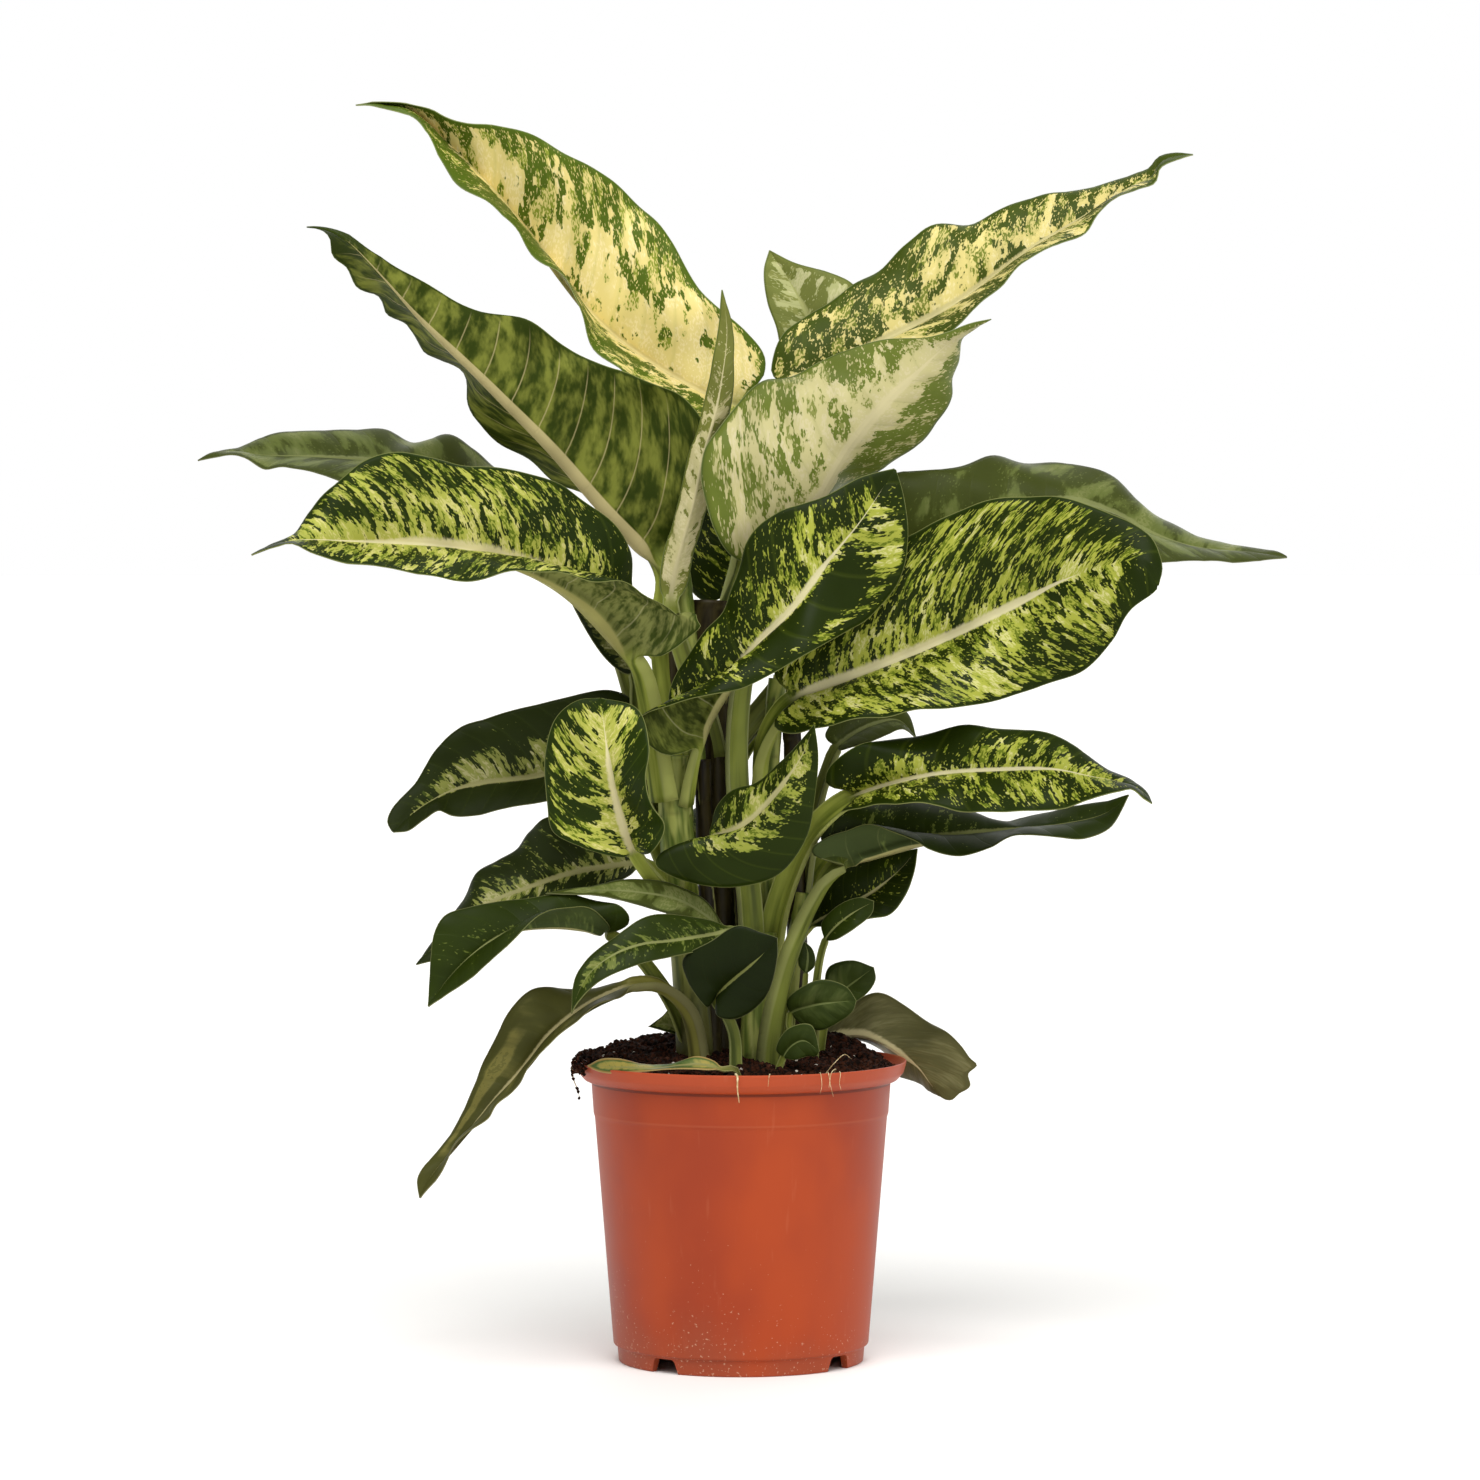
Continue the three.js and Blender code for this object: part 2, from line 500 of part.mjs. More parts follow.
      [-158, 129], [-164, 122], [-171, 108]],
    right: [[-72, 216], [-84, 213], [-100, 213], [-120, 212], [-133, 199], [-144, 178], [-152, 158],
      [-161, 138], [-172, 122], [-185, 104]],
    half: 26, lean: [-0.8, 0.5], stem: 4.6,
  },
  leaf_streaked_left: {
    stalk: [[-32, -6, 250], [-38, -10, 266], [-46, -12, 278], [-55, -14, 284]],
    rib: [[-55, -14, 284], [-80, -17, 282], [-100, -20, 278], [-123, -25, 270], [-145, -31, 261],
      [-165, -37, 246], [-186, -43, 226]],
    left: [[-66, 276], [-82, 270], [-105, 264], [-130, 256], [-152, 245], [-170, 231]],
    right: [[-60, 296], [-85, 308], [-110, 311], [-120, 302], [-128, 293], [-140, 287], [-151, 279],
      [-156, 267], [-163, 257], [-176, 240]],
    half: 34, lean: [-0.3, 0.8], stem: 3.2,
  },
  leaf_arched_left: {
    stalk: [[-28, -6, 176], [-38, -15, 202], [-50, -23, 221], [-62, -32, 235], [-74, -40, 243]],
    rib: [[-74, -40, 243], [-90, -56, 248], [-110, -67.5, 249], [-130, -74.5, 246], [-150, -81.5, 235],
      [-166, -86, 220], [-179, -90.5, 202]],
    left: [[-76, 250], [-84, 257], [-96, 260], [-110, 259], [-124, 252], [-134, 242], [-142, 232],
      [-154, 221], [-170, 210]],
    right: [[-67, 246], [-64, 254], [-70, 261], [-84, 264], [-100, 267], [-123, 264], [-155, 259],
      [-169, 252], [-176, 236], [-179, 216]],
    half: 28, lean: [-0.9, 0.5], stem: 3,
  },
  leaf_pale_left: {
    stalk: [[7, -8, 222], [-1, -18, 236], [-10, -25, 246]],
    rib: [[-10, -25, 246], [-20, -30, 255], [-36, -37, 263], [-60, -45, 270], [-85, -53, 272],
      [-112, -60, 267]],
    left: [[-18, 247], [-32, 254], [-47, 258], [-64, 264], [-82, 267], [-98, 267]],
    right: [[-13, 254], [-22, 264], [-38, 272], [-60, 277], [-80, 278], [-100, 274]],
    half: 13, lean: [-0.5, 0.5], stem: 2.8,
  },
  leaf_front_left: {
    stalk: [[6, -10, 205], [3, -26, 226], [-4, -40, 246]],
    rib: [[-4, -40, 246], [-15, -50, 244], [-40, -66, 240], [-57, -74, 238], [-73, -80, 232],
      [-86, -84, 222], [-93, -87, 210], [-97, -89, 198]],
    left: [[-9, 240], [-21, 235], [-40, 231], [-60, 226], [-82, 216], [-93, 205]],
    right: [[-12, 250], [-22, 253], [-33, 255], [-54, 254], [-71, 243], [-86, 232], [-95, 218]],
    half: 21, lean: [-0.4, 0.2], stem: 2.8,
  },
  leaf_dark_front: {
    stalk: [[-3, -50, 140], [-3, -50, 178], [-7, -50, 192], [-17, -53, 205]],
    rib: [[-17, -53, 205], [-9, -63, 217], [4, -68, 227], [12, -71, 234], [21, -73, 242]],
    left: [[-27, 211], [-33, 225], [-21, 237], [-1, 249], [13, 247]],
    right: [[-20, 198], [-4, 197], [12, 207], [21, 222], [23, 234]],
    half: 21, lean: [-0.4, -0.4], stem: 3.4,
  },
  leaf_yellowing: {
    stalk: [[6, -61, 140], [6, -61, 155], [6, -61.5, 166], [2, -66, 172], [-10, -73, 171.5]],
    rib: [[-10, -73, 171], [-28, -75, 172], [-48, -72, 172], [-68, -63, 171], [-88, -47, 170]],
    left: [[-18, 169], [-34, 169], [-52, 168], [-74, 168]],
    right: [[-20, 174], [-38, 176], [-60, 175], [-78, 173]],
    half: 9, lean: [-0.6, 0.8], stem: 1.8, arch: 0.03,
  },
  leaf_base_right: {
    stalk: [[22, -40, 140], [22, -40, 168], [24, -41, 173]],
    rib: [[24, -41, 173], [29, -44, 180], [36, -47, 183], [45, -50, 177]],
    left: [[20, 178], [27, 190], [40, 192]],
    right: [[31, 172], [38, 174], [43, 174]],
    half: 9, lean: [0.5, -0.6], stem: 2,
  },
  leaf_sprout_left: {
    stalk: [[-42, 10, 140], [-42, 10, 176], [-41, 10, 182]],
    rib: [[-41, 10, 182], [-43, 8, 188], [-47, 7, 191], [-54, 6, 191]],
    left: [[-46, 183], [-51, 187]],
    right: [[-38, 188], [-43, 197]],
    half: 6, lean: [-0.4, 0.4], stem: 1.8, rows: 6,
  },
  leaf_behind_upper: {
    stalk: [[-9, 23, 392], [-6, 44, 418], [0, 63, 441], [6, 78, 455]],
    rib: [[6, 78, 455], [10, 90.5, 472], [14, 105, 487], [20, 122.5, 497], [26, 139.5, 497],
      [34, 155.5, 490]],
    left: [[-8, 442], [-20, 439], [-28, 448], [-27, 470], [-18, 494], [0, 510], [20, 505]],
    right: [[25, 450], [45, 462], [55, 480], [55, 498], [45, 503]],
    half: 50, lean: [0, 0], stem: 3.8,
  },
  leaf_behind_left: {
    stalk: [[-14, 26, 340], [-26, 46, 378], [-50, 66, 408], [-76, 82, 434], [-98, 96, 454]],
    rib: [[-98, 96, 454], [-122, 112, 469], [-148, 127.5, 481], [-173, 143.5, 487], [-195, 156.5, 483]],
    left: [[-106, 450], [-122, 455], [-150, 460], [-180, 466], [-195, 474]],
    right: [[-96, 468], [-112, 490], [-143, 504], [-173, 507], [-192, 498]],
    half: 42, lean: [-0.3, 0.3], stem: 4,
  },
  leaf_behind_right: {
    stalk: [[-10, 26, 330], [8, 44, 360], [36, 62, 380], [60, 76, 394]],
    rib: [[60, 76, 394], [90, 96, 412], [120, 118, 428], [146, 138.5, 438], [168, 157.5, 438]],
    left: [[54, 412], [74, 440], [104, 462], [140, 468], [164, 454]],
    right: [[76, 384], [105, 388], [142, 400], [164, 420]],
    half: 48, lean: [0.2, -0.2], stem: 4,
  },
  leaf_behind_low_left: {
    stalk: [[-12, 21, 275], [-30, 46, 300], [-58, 66, 320], [-80, 82, 334]],
    rib: [[-80, 82, 334], [-105, 100, 344], [-130, 118, 350], [-154, 136, 348], [-172, 150, 338]],
    left: [[-92, 332], [-120, 333], [-148, 334], [-166, 333]],
    right: [[-80, 350], [-98, 366], [-130, 366], [-154, 359], [-169, 348]],
    half: 32, lean: [-0.5, 0.3], stem: 3.6,
  },
  leaf_behind_low_right: {
    stalk: [[33, 20, 250], [42, 38, 278], [58, 52, 298], [75, 64, 310]],
    rib: [[75, 64, 310], [100, 80, 322], [130, 98, 330], [158, 114, 332], [180, 128, 325]],
    left: [[70, 324], [90, 343], [125, 352], [160, 350], [178, 338]],
    right: [[92, 309], [125, 315], [155, 319], [176, 319]],
    half: 30, lean: [0.3, -0.5], stem: 3.6,
  },
  leaf_behind_low: {
    stalk: [[-11, 22, 240], [-10, 44, 262], [-8, 62, 280]],
    rib: [[-8, 62, 280], [-4, 85, 297], [0, 111.5, 307], [5, 136, 306], [9, 157, 298]],
    left: [[-22, 284], [-33, 300], [-30, 314], [-14, 318]],
    right: [[10, 281], [28, 292], [32, 308], [22, 314]],
    half: 34, lean: [0, 0], stem: 3.6,
  },
};

// The pot's shell, turned about its axis, with notches in the foot ring and drain holes
function potGeometry() {
  const rimFoot = POT_HEIGHT - RIM_BAND;
  const outline = [
    [0, FOOT_HEIGHT], [FOOT_RADIUS - 4, FOOT_HEIGHT], [FOOT_RADIUS - 4, 0], [FOOT_RADIUS, 0],
    [FOOT_RADIUS + 1, FOOT_HEIGHT], [BODY_FOOT_RADIUS, FOOT_HEIGHT + 1],
    [BODY_FOOT_RADIUS + 10.2, STEP_HEIGHT - 1], [BODY_FOOT_RADIUS + 10.8, STEP_HEIGHT + 1],
    [NECK_RADIUS, rimFoot], [NECK_RADIUS + 2.5, rimFoot + 0.5], [RIM_RADIUS, POT_HEIGHT],
    [RIM_RADIUS - WALL, POT_HEIGHT], [NECK_RADIUS + 0.5, rimFoot + 2.5], [NECK_RADIUS - WALL, rimFoot],
    [BODY_FOOT_RADIUS - WALL, FOOT_HEIGHT + WALL], [0, FOOT_HEIGHT + WALL],
  ];
  const shell = new THREE.LatheGeometry(outline.map(([r, z]) => new THREE.Vector2(r, z)), POT_SIDES);
  shell.rotateX(Math.PI / 2);
  let pot = toSolid(shell);
  if (pot.volume() < 0) {
    throw new Error('the pot is inside out');
  }
  for (const angle of NOTCH_ANGLES) {
    const turn = THREE.MathUtils.degToRad(angle);
    const arch = new THREE.Shape([
      new THREE.Vector2(-NOTCH_WIDTH / 2, -1),
      new THREE.Vector2(NOTCH_WIDTH / 2, -1),
      new THREE.Vector2(NOTCH_WIDTH / 2 - 2.5, FOOT_HEIGHT - 2.5),
      new THREE.Vector2(NOTCH_WIDTH / 2 - 5, FOOT_HEIGHT - 1),
      new THREE.Vector2(5 - NOTCH_WIDTH / 2, FOOT_HEIGHT - 1),
      new THREE.Vector2(2.5 - NOTCH_WIDTH / 2, FOOT_HEIGHT - 2.5),
    ]);
    const notch = new THREE.ExtrudeGeometry(arch, { depth: 20, bevelEnabled: false });
    notch.rotateX(Math.PI / 2);
    notch.translate(0, -FOOT_RADIUS + 10, 0);
    notch.rotateZ(turn);
    const hole = new THREE.CylinderGeometry(DRAIN_RADIUS, DRAIN_RADIUS, 3 * WALL, 12);
    hole.rotateX(Math.PI / 2);
    hole.translate(0, 12 - FOOT_RADIUS, FOOT_HEIGHT + WALL / 2);
    hole.rotateZ(turn);
    pot = pot.subtract(toSolid(notch)).subtract(toSolid(hole));
  }
  const centre = new THREE.CylinderGeometry(DRAIN_RADIUS, DRAIN_RADIUS, 3 * WALL, 12);
  centre.rotateX(Math.PI / 2);
  centre.translate(0, 0, FOOT_HEIGHT + WALL / 2);
  return toGeometry(pot.subtract(toSolid(centre)));
}

// The height of the soil: heaped at the back and left, lower at the right front, with small lumps
function soilHeight(x, y) {
  const reach = Math.min(Math.hypot(x, y) / SOIL_RADIUS, 1);
  const side = (y - x) / (Math.SQRT2 * SOIL_RADIUS);
  const heap = (SOIL_HEAP + SOIL_LEAN * side) * (1 - reach ** 4);
  const lumps = 1.1 * Math.sin(x / 7.3 + 1) * Math.cos(y / 6.1) + 0.8 * Math.sin((x + y) / 4.3);
  return SOIL_EDGE + heap + lumps * (1 - reach ** 4);
}

function ringOfPoints(radius, heightAt) {
  return Array.from({ length: SOIL_SIDES }, (_, i) => {
    const angle = (i / SOIL_SIDES) * Math.PI * 2;
    const x = radius * Math.cos(angle);
    const y = radius * Math.sin(angle);
    return new THREE.Vector3(x, y, heightAt(x, y));
  });
}

// The soil fills the pot up to the flare of the rim, and the stems stand in holes in it
function soilGeometry(stems) {
  const vertices = [new THREE.Vector3(0, 0, soilHeight(0, 0))];
  for (let ring = 1; ring <= SOIL_RINGS; ring += 1) {
    vertices.push(...ringOfPoints(SOIL_RADIUS * (ring / SOIL_RINGS), soilHeight));
  }
  vertices.push(...ringOfPoints(NECK_RADIUS - WALL - 3 * GAP, () => POT_HEIGHT - RIM_BAND));
  vertices.push(...ringOfPoints(BODY_FOOT_RADIUS - WALL - 2 * GAP, () => SOIL_FLOOR));
  vertices.push(new THREE.Vector3(0, 0, SOIL_FLOOR));
  const triangles = [];
  const at = (ring, i) => 1 + (ring - 1) * SOIL_SIDES + (i % SOIL_SIDES);
  for (let i = 0; i < SOIL_SIDES; i += 1) {
    triangles.push([0, at(1, i), at(1, i + 1)]);
    for (let ring = 1; ring < SOIL_RINGS + 2; ring += 1) {
      triangles.push([at(ring, i), at(ring + 1, i), at(ring + 1, i + 1)]);
      triangles.push([at(ring, i), at(ring + 1, i + 1), at(ring, i + 1)]);
    }
    triangles.push([vertices.length - 1, at(SOIL_RINGS + 2, i + 1), at(SOIL_RINGS + 2, i)]);
  }
  let soil = toSolid(geometryFrom(vertices, triangles));
  for (const stem of stems) {
    soil = soil.subtract(toSolid(stem));
  }
  return toGeometry(largestBody(soil));
}

// A dry root that hangs over the front of the rim
const ROOT_PATH = [[-3, -80, 161], [-3, -86, 164.4], [-3, -92, 165], [-2, -96.5, 163.5],
  [-2, -97, 156.5], [-1, -97.4, 150]];
const ROOT_RADIUS = 0.8;

// Plain colours of the pieces
const CANE_GREEN = 0x5f7a2c;
const LEAF_GREEN = 0x46632a;
const ROOT_CREAM = 0xd8c8a0;
const POT_TERRACOTTA = 0xb24f2e;
const SOIL_BROWN = 0x2a1512;

// The plant in its pot
const plant = new THREE.Group();

function addPiece(name, geometry, color, roughness) {
  const mesh = new THREE.Mesh(geometry, new THREE.MeshStandardMaterial({ color, roughness, metalness: 0 }));
  mesh.name = name;
  plant.add(mesh);
}

const caneRadius = ({ radius: [low, high] }, grow) => (t) => THREE.MathUtils.lerp(low, high, t) + grow;
const grownCanes = {};
for (const [name, cane] of Object.entries(CANES)) {
  addPiece(name, stemGeometry(cane.path, caneRadius(cane, 0), CANE_SIDES, CANE_STEPS), CANE_GREEN, 0.5);
  grownCanes[name] = stemGeometry(cane.path, caneRadius(cane, GAP), CANE_SIDES, CANE_STEPS);
}

const inSoil = [];
for (const [name, leaf] of Object.entries(LEAVES)) {
  let solid = toSolid(leafGeometry(leaf));
  if (leaf.stalk[0][2] < 150) {
    const [x, y, z] = leaf.stalk[0];
    const radius = leaf.stem * STALK_FLARE * HOLE_SHARE + GAP;
    inSoil.push(stemGeometry([[x, y, z - 1], [x, y, ABOVE_SOIL]], () => radius, CANE_SIDES, 1));
  } else {
    for (const cane of Object.values(grownCanes)) {
      solid = solid.subtract(toSolid(cane));
    }
    solid = largestBody(solid);
  }
  addPiece(name, toGeometry(solid), LEAF_GREEN, 0.45);
}

const rootRadius = (t) => ROOT_RADIUS * (1 - 0.4 * t);
addPiece('root_thread', stemGeometry(ROOT_PATH, rootRadius, 6, 9), ROOT_CREAM, 0.7);
addPiece('pot', potGeometry(), POT_TERRACOTTA, 0.45);
addPiece('soil', soilGeometry([...Object.values(grownCanes), ...inSoil]), SOIL_BROWN, 0.95);

export default plant;
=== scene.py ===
# %% [markdown]
# # A potted dieffenbachia
#
# A dieffenbachia grows as a few thick green canes. Each leaf is one piece: a channelled stalk that
# clasps its cane, and a broad thin blade with a strong midrib. This script dresses a measured model
# of the plant. That model has every leaf at its place, but with few faces. Here each leaf is grown
# again from the same few curves with a fine skin, and then it gets its speckled finish.

# %% Tools and the measured model
import math
from types import SimpleNamespace

import bmesh
import bpy
import numpy as np
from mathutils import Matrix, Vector, noise


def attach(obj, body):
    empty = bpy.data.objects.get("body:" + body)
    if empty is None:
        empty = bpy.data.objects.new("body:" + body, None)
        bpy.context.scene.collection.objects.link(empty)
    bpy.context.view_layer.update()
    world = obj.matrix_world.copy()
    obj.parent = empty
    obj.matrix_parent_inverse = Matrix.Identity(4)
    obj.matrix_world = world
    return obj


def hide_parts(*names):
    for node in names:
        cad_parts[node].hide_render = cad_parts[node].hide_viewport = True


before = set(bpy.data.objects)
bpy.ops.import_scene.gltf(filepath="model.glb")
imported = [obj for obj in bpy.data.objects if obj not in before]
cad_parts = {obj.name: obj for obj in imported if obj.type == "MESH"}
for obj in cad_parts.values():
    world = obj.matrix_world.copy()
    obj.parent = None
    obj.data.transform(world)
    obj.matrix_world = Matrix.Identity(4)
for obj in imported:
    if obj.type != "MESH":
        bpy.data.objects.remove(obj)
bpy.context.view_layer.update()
MM = 0.001

# %% [markdown]
# ## Camera
#
# The photograph was taken from a good distance with a long lens, a little above the middle of the
# plant and almost level. A long lens keeps near and far leaves at nearly the same scale, so the
# same distance and lens are set here before anything is made.

# %% Camera
EYE = np.array([0.0, -3200.0, 472.0])
AIM_HEIGHT = 355.0
LENS = 136.5
FRAMING_SHIFT = -1 / 1480

camera_data = bpy.data.cameras.new("camera")
camera_data.lens = LENS
camera_data.sensor_width = 36
camera_data.shift_x = FRAMING_SHIFT
camera = bpy.data.objects.new("camera", camera_data)
camera.location = EYE * MM
tilt_down = math.atan2(EYE[2] - AIM_HEIGHT, -EYE[1])
camera.rotation_euler = (math.pi / 2 - tilt_down, 0, 0)
bpy.context.scene.collection.objects.link(camera)
bpy.context.scene.camera = camera
print("camera tilts down", round(math.degrees(tilt_down), 2), "degrees")

# %% [markdown]
# ## Small helpers
#
# Colours are noted as sRGB hex values, the way a colour picker shows them, and one function turns
# them to the linear values that a shader needs. Two more feed the sockets of a node and add a node,
# so that a material reads as a list of steps. Heights in a material are in metres, so they use MM.

# %% Colours and nodes
def colour(value, alpha=1.0):
    """A linear colour from an sRGB hex value."""
    parts = [int(value[i:i + 2], 16) / 255 for i in (1, 3, 5)]
    linear = [c / 12.92 if c <= 0.04045 else ((c + 0.055) / 1.055) ** 2.4 for c in parts]
    return (*linear, alpha)


def feed(tree, node, sockets):
    """Gives each socket of a node a value, an output, or the first output that another node shows."""
    for key, value in sockets.items():
        if isinstance(value, bpy.types.Node):
            value = next(output for output in value.outputs if output.enabled)
        if isinstance(value, bpy.types.NodeSocket):
            tree.links.new(value, node.inputs[key])
        else:
            node.inputs[key].default_value = value


def add(tree, kind, sockets=None, **settings):
    """Adds a node with its settings, and feeds its sockets."""
    made = tree.nodes.new(kind)
    for key, value in settings.items():
        setattr(made, key, value)
    feed(tree, made, sockets or {})
    return made


NOISE, MATH, VECTOR_MATH = "ShaderNodeTexNoise", "ShaderNodeMath", "ShaderNodeVectorMath"
STEP, MIX, BUMP = "ShaderNodeMapRange", "ShaderNodeMix", "ShaderNodeBump"
SMOOTH = {"interpolation_type": "SMOOTHSTEP"}


def new_material(name):
    """An empty material with its node tree and its surface shader."""
    made = bpy.data.materials.new(name)
    made.use_nodes = True
    made.node_tree.nodes.clear()
    shader = add(made.node_tree, "ShaderNodeBsdfPrincipled")
    add(made.node_tree, "ShaderNodeOutputMaterial", {"Surface": shader})
    return made, made.node_tree, shader


print("a middle grey is", round(colour("#808080")[0], 3), "in linear light")

# %% [markdown]
# ## Meshes
#
# Most shapes here are grids of vertices: rings stacked along a line for the canes, the roots, the pot
# and the soil, and rows and columns for a leaf. So a few functions list the faces of such grids.

# %% Meshes and their faces
def add_object(name, vertices, faces, material, smooth=True):
    """A mesh object at the origin, from places in millimetres and lists of corners."""
    mesh = bpy.data.meshes.new(name)
    mesh.from_pydata((np.asarray(vertices) * MM).tolist(), [], faces)
    mesh.materials.append(material)
    mesh.polygons.foreach_set("use_smooth", [smooth] * len(mesh.polygons))
    mesh.update()
    made = bpy.data.objects.new(name, mesh)
    bpy.context.scene.collection.objects.link(made)
    return made


def grid_faces(rows, columns):
    """Quads between the vertices of an open grid, row by row."""
    place = np.arange(rows * columns).reshape(rows, columns)
    return np.stack([place[:-1, :-1], place[:-1, 1:], place[1:, 1:], place[1:, :-1]], -1).reshape(-1, 4)


def shell_faces(rows, columns):
    """Faces of a closed thin shell, whose top places come first and whose bottom places follow."""
    below = rows * columns
    place = np.arange(below).reshape(rows, columns)
    rim = np.concatenate([place[0, :-1], place[:-1, -1], place[-1, :0:-1], place[:0:-1, 0]])
    after = np.roll(rim, -1)
    wall = np.column_stack([rim, rim + below, after + below, after])
    top = grid_faces(rows, columns)
    return np.vstack([top, top[:, [0, 3, 2, 1]] + below, wall]).tolist()


def ring_faces(rings, sides):
    """Quads of a wall between rings of vertices, where each ring has the same number of sides."""
    k, i = np.meshgrid(np.arange(rings - 1) * sides, np.arange(sides), indexing="ij")
    k, i, j = k.ravel(), i.ravel(), (i.ravel() + 1) % sides
    return np.column_stack([k + i, k + j, k + sides + j, k + sides + i]).tolist()


def end_faces(rings, sides):
    """One flat face over the first ring and one over the last, to close a wall of rings."""
    return [list(range(sides))[::-1], [(rings - 1) * sides + n for n in range(sides)]]


def add_tube(name, rings, material):
    """A tube of rings of places, closed at both ends."""
    count, sides = rings.shape[:2]
    faces = ring_faces(count, sides) + end_faces(count, sides)
    return add_object(name, rings.reshape(-1, 3), faces, material)


def fan_faces(centre, first, sides):
    """Triangles from a centre vertex to the ring of vertices that starts at first."""
    return [[centre, first + n, first + (n + 1) % sides] for n in range(sides)]


def flipped(faces):
    """The same faces, turned to look the other way."""
    return [face[::-1] for face in faces]


def give_points(thing, name, values):
    """Stores three numbers on each vertex, for the material to read."""
    kept = thing.data.attributes.new(name, "FLOAT_VECTOR", "POINT")
    kept.data.foreach_set("vector", np.asarray(values, np.float32).ravel())


print("a closed box has", len(ring_faces(2, 4) + end_faces(2, 4)), "faces")

# %% [markdown]
# ## Curves
#
# The stalks, midribs and leaf margins are each a short list of points with a smooth
# curve through them. Points are read as seen from the front: x across and z up on the upright plane
# through the pot's axis, with y as the depth behind that plane. A point then slides along the line
# of sight to its own depth, so moving a leaf forwards never changes its outline in the picture. A
# cane or a root is laid about its curve as rings of places.

# %% Curve through points, and the line of sight
CURVE_SAMPLES = 401
FULL_TURN = 2 * np.pi


def unit(vectors):
    """The same directions, one unit long."""
    return vectors / np.maximum(np.linalg.norm(vectors, axis=-1, keepdims=True), 1e-9)


def ease(low, high, values):
    """0 below low, 1 above high, and a smooth step between."""
    share = np.clip((values - low) / (high - low), 0, 1)
    return share * share * (3 - 2 * share)


def smooth_curve(points):
    """A function from shares of its length, 0 to 1, to places on a smooth curve through points."""
    points = np.asarray(points, float)
    spans = len(points) - 1
    held = np.vstack([2 * points[0] - points[1], points, 2 * points[-1] - points[-2]])

    def place(t):
        scaled = np.clip(t, 0, 1) * spans
        first = np.minimum(scaled.astype(int), spans - 1)
        rest = (scaled - first)[:, None]
        p0, p1, p2, p3 = (held[first + k] for k in range(4))
        g0, g1, g2 = (np.linalg.norm(b - a, axis=1, keepdims=True) ** 0.5
                      for a, b in ((p0, p1), (p1, p2), (p2, p3)))
        leave = ((p1 - p0) / g0 - (p2 - p0) / (g0 + g1) + (p2 - p1) / g1) * g1
        arrive = ((p2 - p1) / g1 - (p3 - p1) / (g1 + g2) + (p3 - p2) / g2) * g1
        square = 3 * (p2 - p1) - 2 * leave - arrive
        cube = 2 * (p1 - p2) + leave + arrive
        return p1 + rest * (leave + rest * (square + rest * cube))

    steps = np.linspace(0, 1, CURVE_SAMPLES)
    walked = np.linalg.norm(np.diff(place(steps), axis=0), axis=1)
    lengths = np.concatenate([[0], np.cumsum(walked)])

    def at(share):
        return place(np.interp(np.asarray(share, float) * lengths[-1], lengths, steps))

    at.length = lengths[-1]
    at.marks = np.interp(np.arange(spans + 1) / spans, steps, lengths)
    return at


def heading(line, share, step):
    """The direction of a curve, from its places a step before and a step after."""
    return unit(line(share + step) - line(share - step))


def round_line(centre, along, across, turn, radius):
    """Rings of places about a line, each at its own turn from the direction across."""
    depth = np.cross(along, across)
    offset = across[:, None] * np.cos(turn)[..., None] + depth[:, None] * np.sin(turn)[..., None]
    return centre[:, None] + offset * radius[..., None]


def sight(points):
    """Slides points from the upright plane to their own depth, along the line of sight."""
    points = np.atleast_2d(np.asarray(points, float))
    on_plane = points * (1, 0, 1)
    return EYE + (on_plane - EYE) * ((points[:, 1:2] - EYE[1]) / -EYE[1])


print("a straight line stays straight:", smooth_curve([[0, 0, 0], [0, 0, 9]])([0.5])[0])

# %% [markdown]
# ## The plant's curves
#
# These tables hold the points. A cane has its path, and its radius at the soil and at the
# top. A leaf has its stalk and its midrib as [x, y, z], and its two margins as [x, z], with an extra
# depth where a lobe is turned. half is the true greatest width of a half blade: where a margin is seen
# nearer to the midrib than that, the half leans away, and lean says which way (-1 is to the front).
# stem is the stalk's radius. Some leaves also say how wide the pale line of the midrib is (rib_share)
# and where it ends (rib_end), how much each half arches (arch), or how much the margin waves (wave).

# %% Canes
CANES = {
    "cane_left": dict(path=[[-25, -4, 140], [-27, -4, 190], [-30, -4, 230], [-35, -4, 280], [-38, -4, 330],
        [-38, -4, 346]], radius=[11, 10]),
    "cane_back": dict(path=[[-12, 16, 140], [-11, 16, 200], [-11, 16, 260], [-12, 17, 320], [-13, 18, 362],
        [-8, 22, 400], [6, 34, 452]], radius=[8.5, 6]),
    "cane_centre": dict(path=[[9, -2, 140], [10, -2, 180], [11, -1, 215], [11, 0, 245]], radius=[12, 10]),
    "cane_right": dict(path=[[27, 16, 140], [28, 16, 190], [31, 16, 235], [35, 16, 268]], radius=[6.5, 5.5]),
}

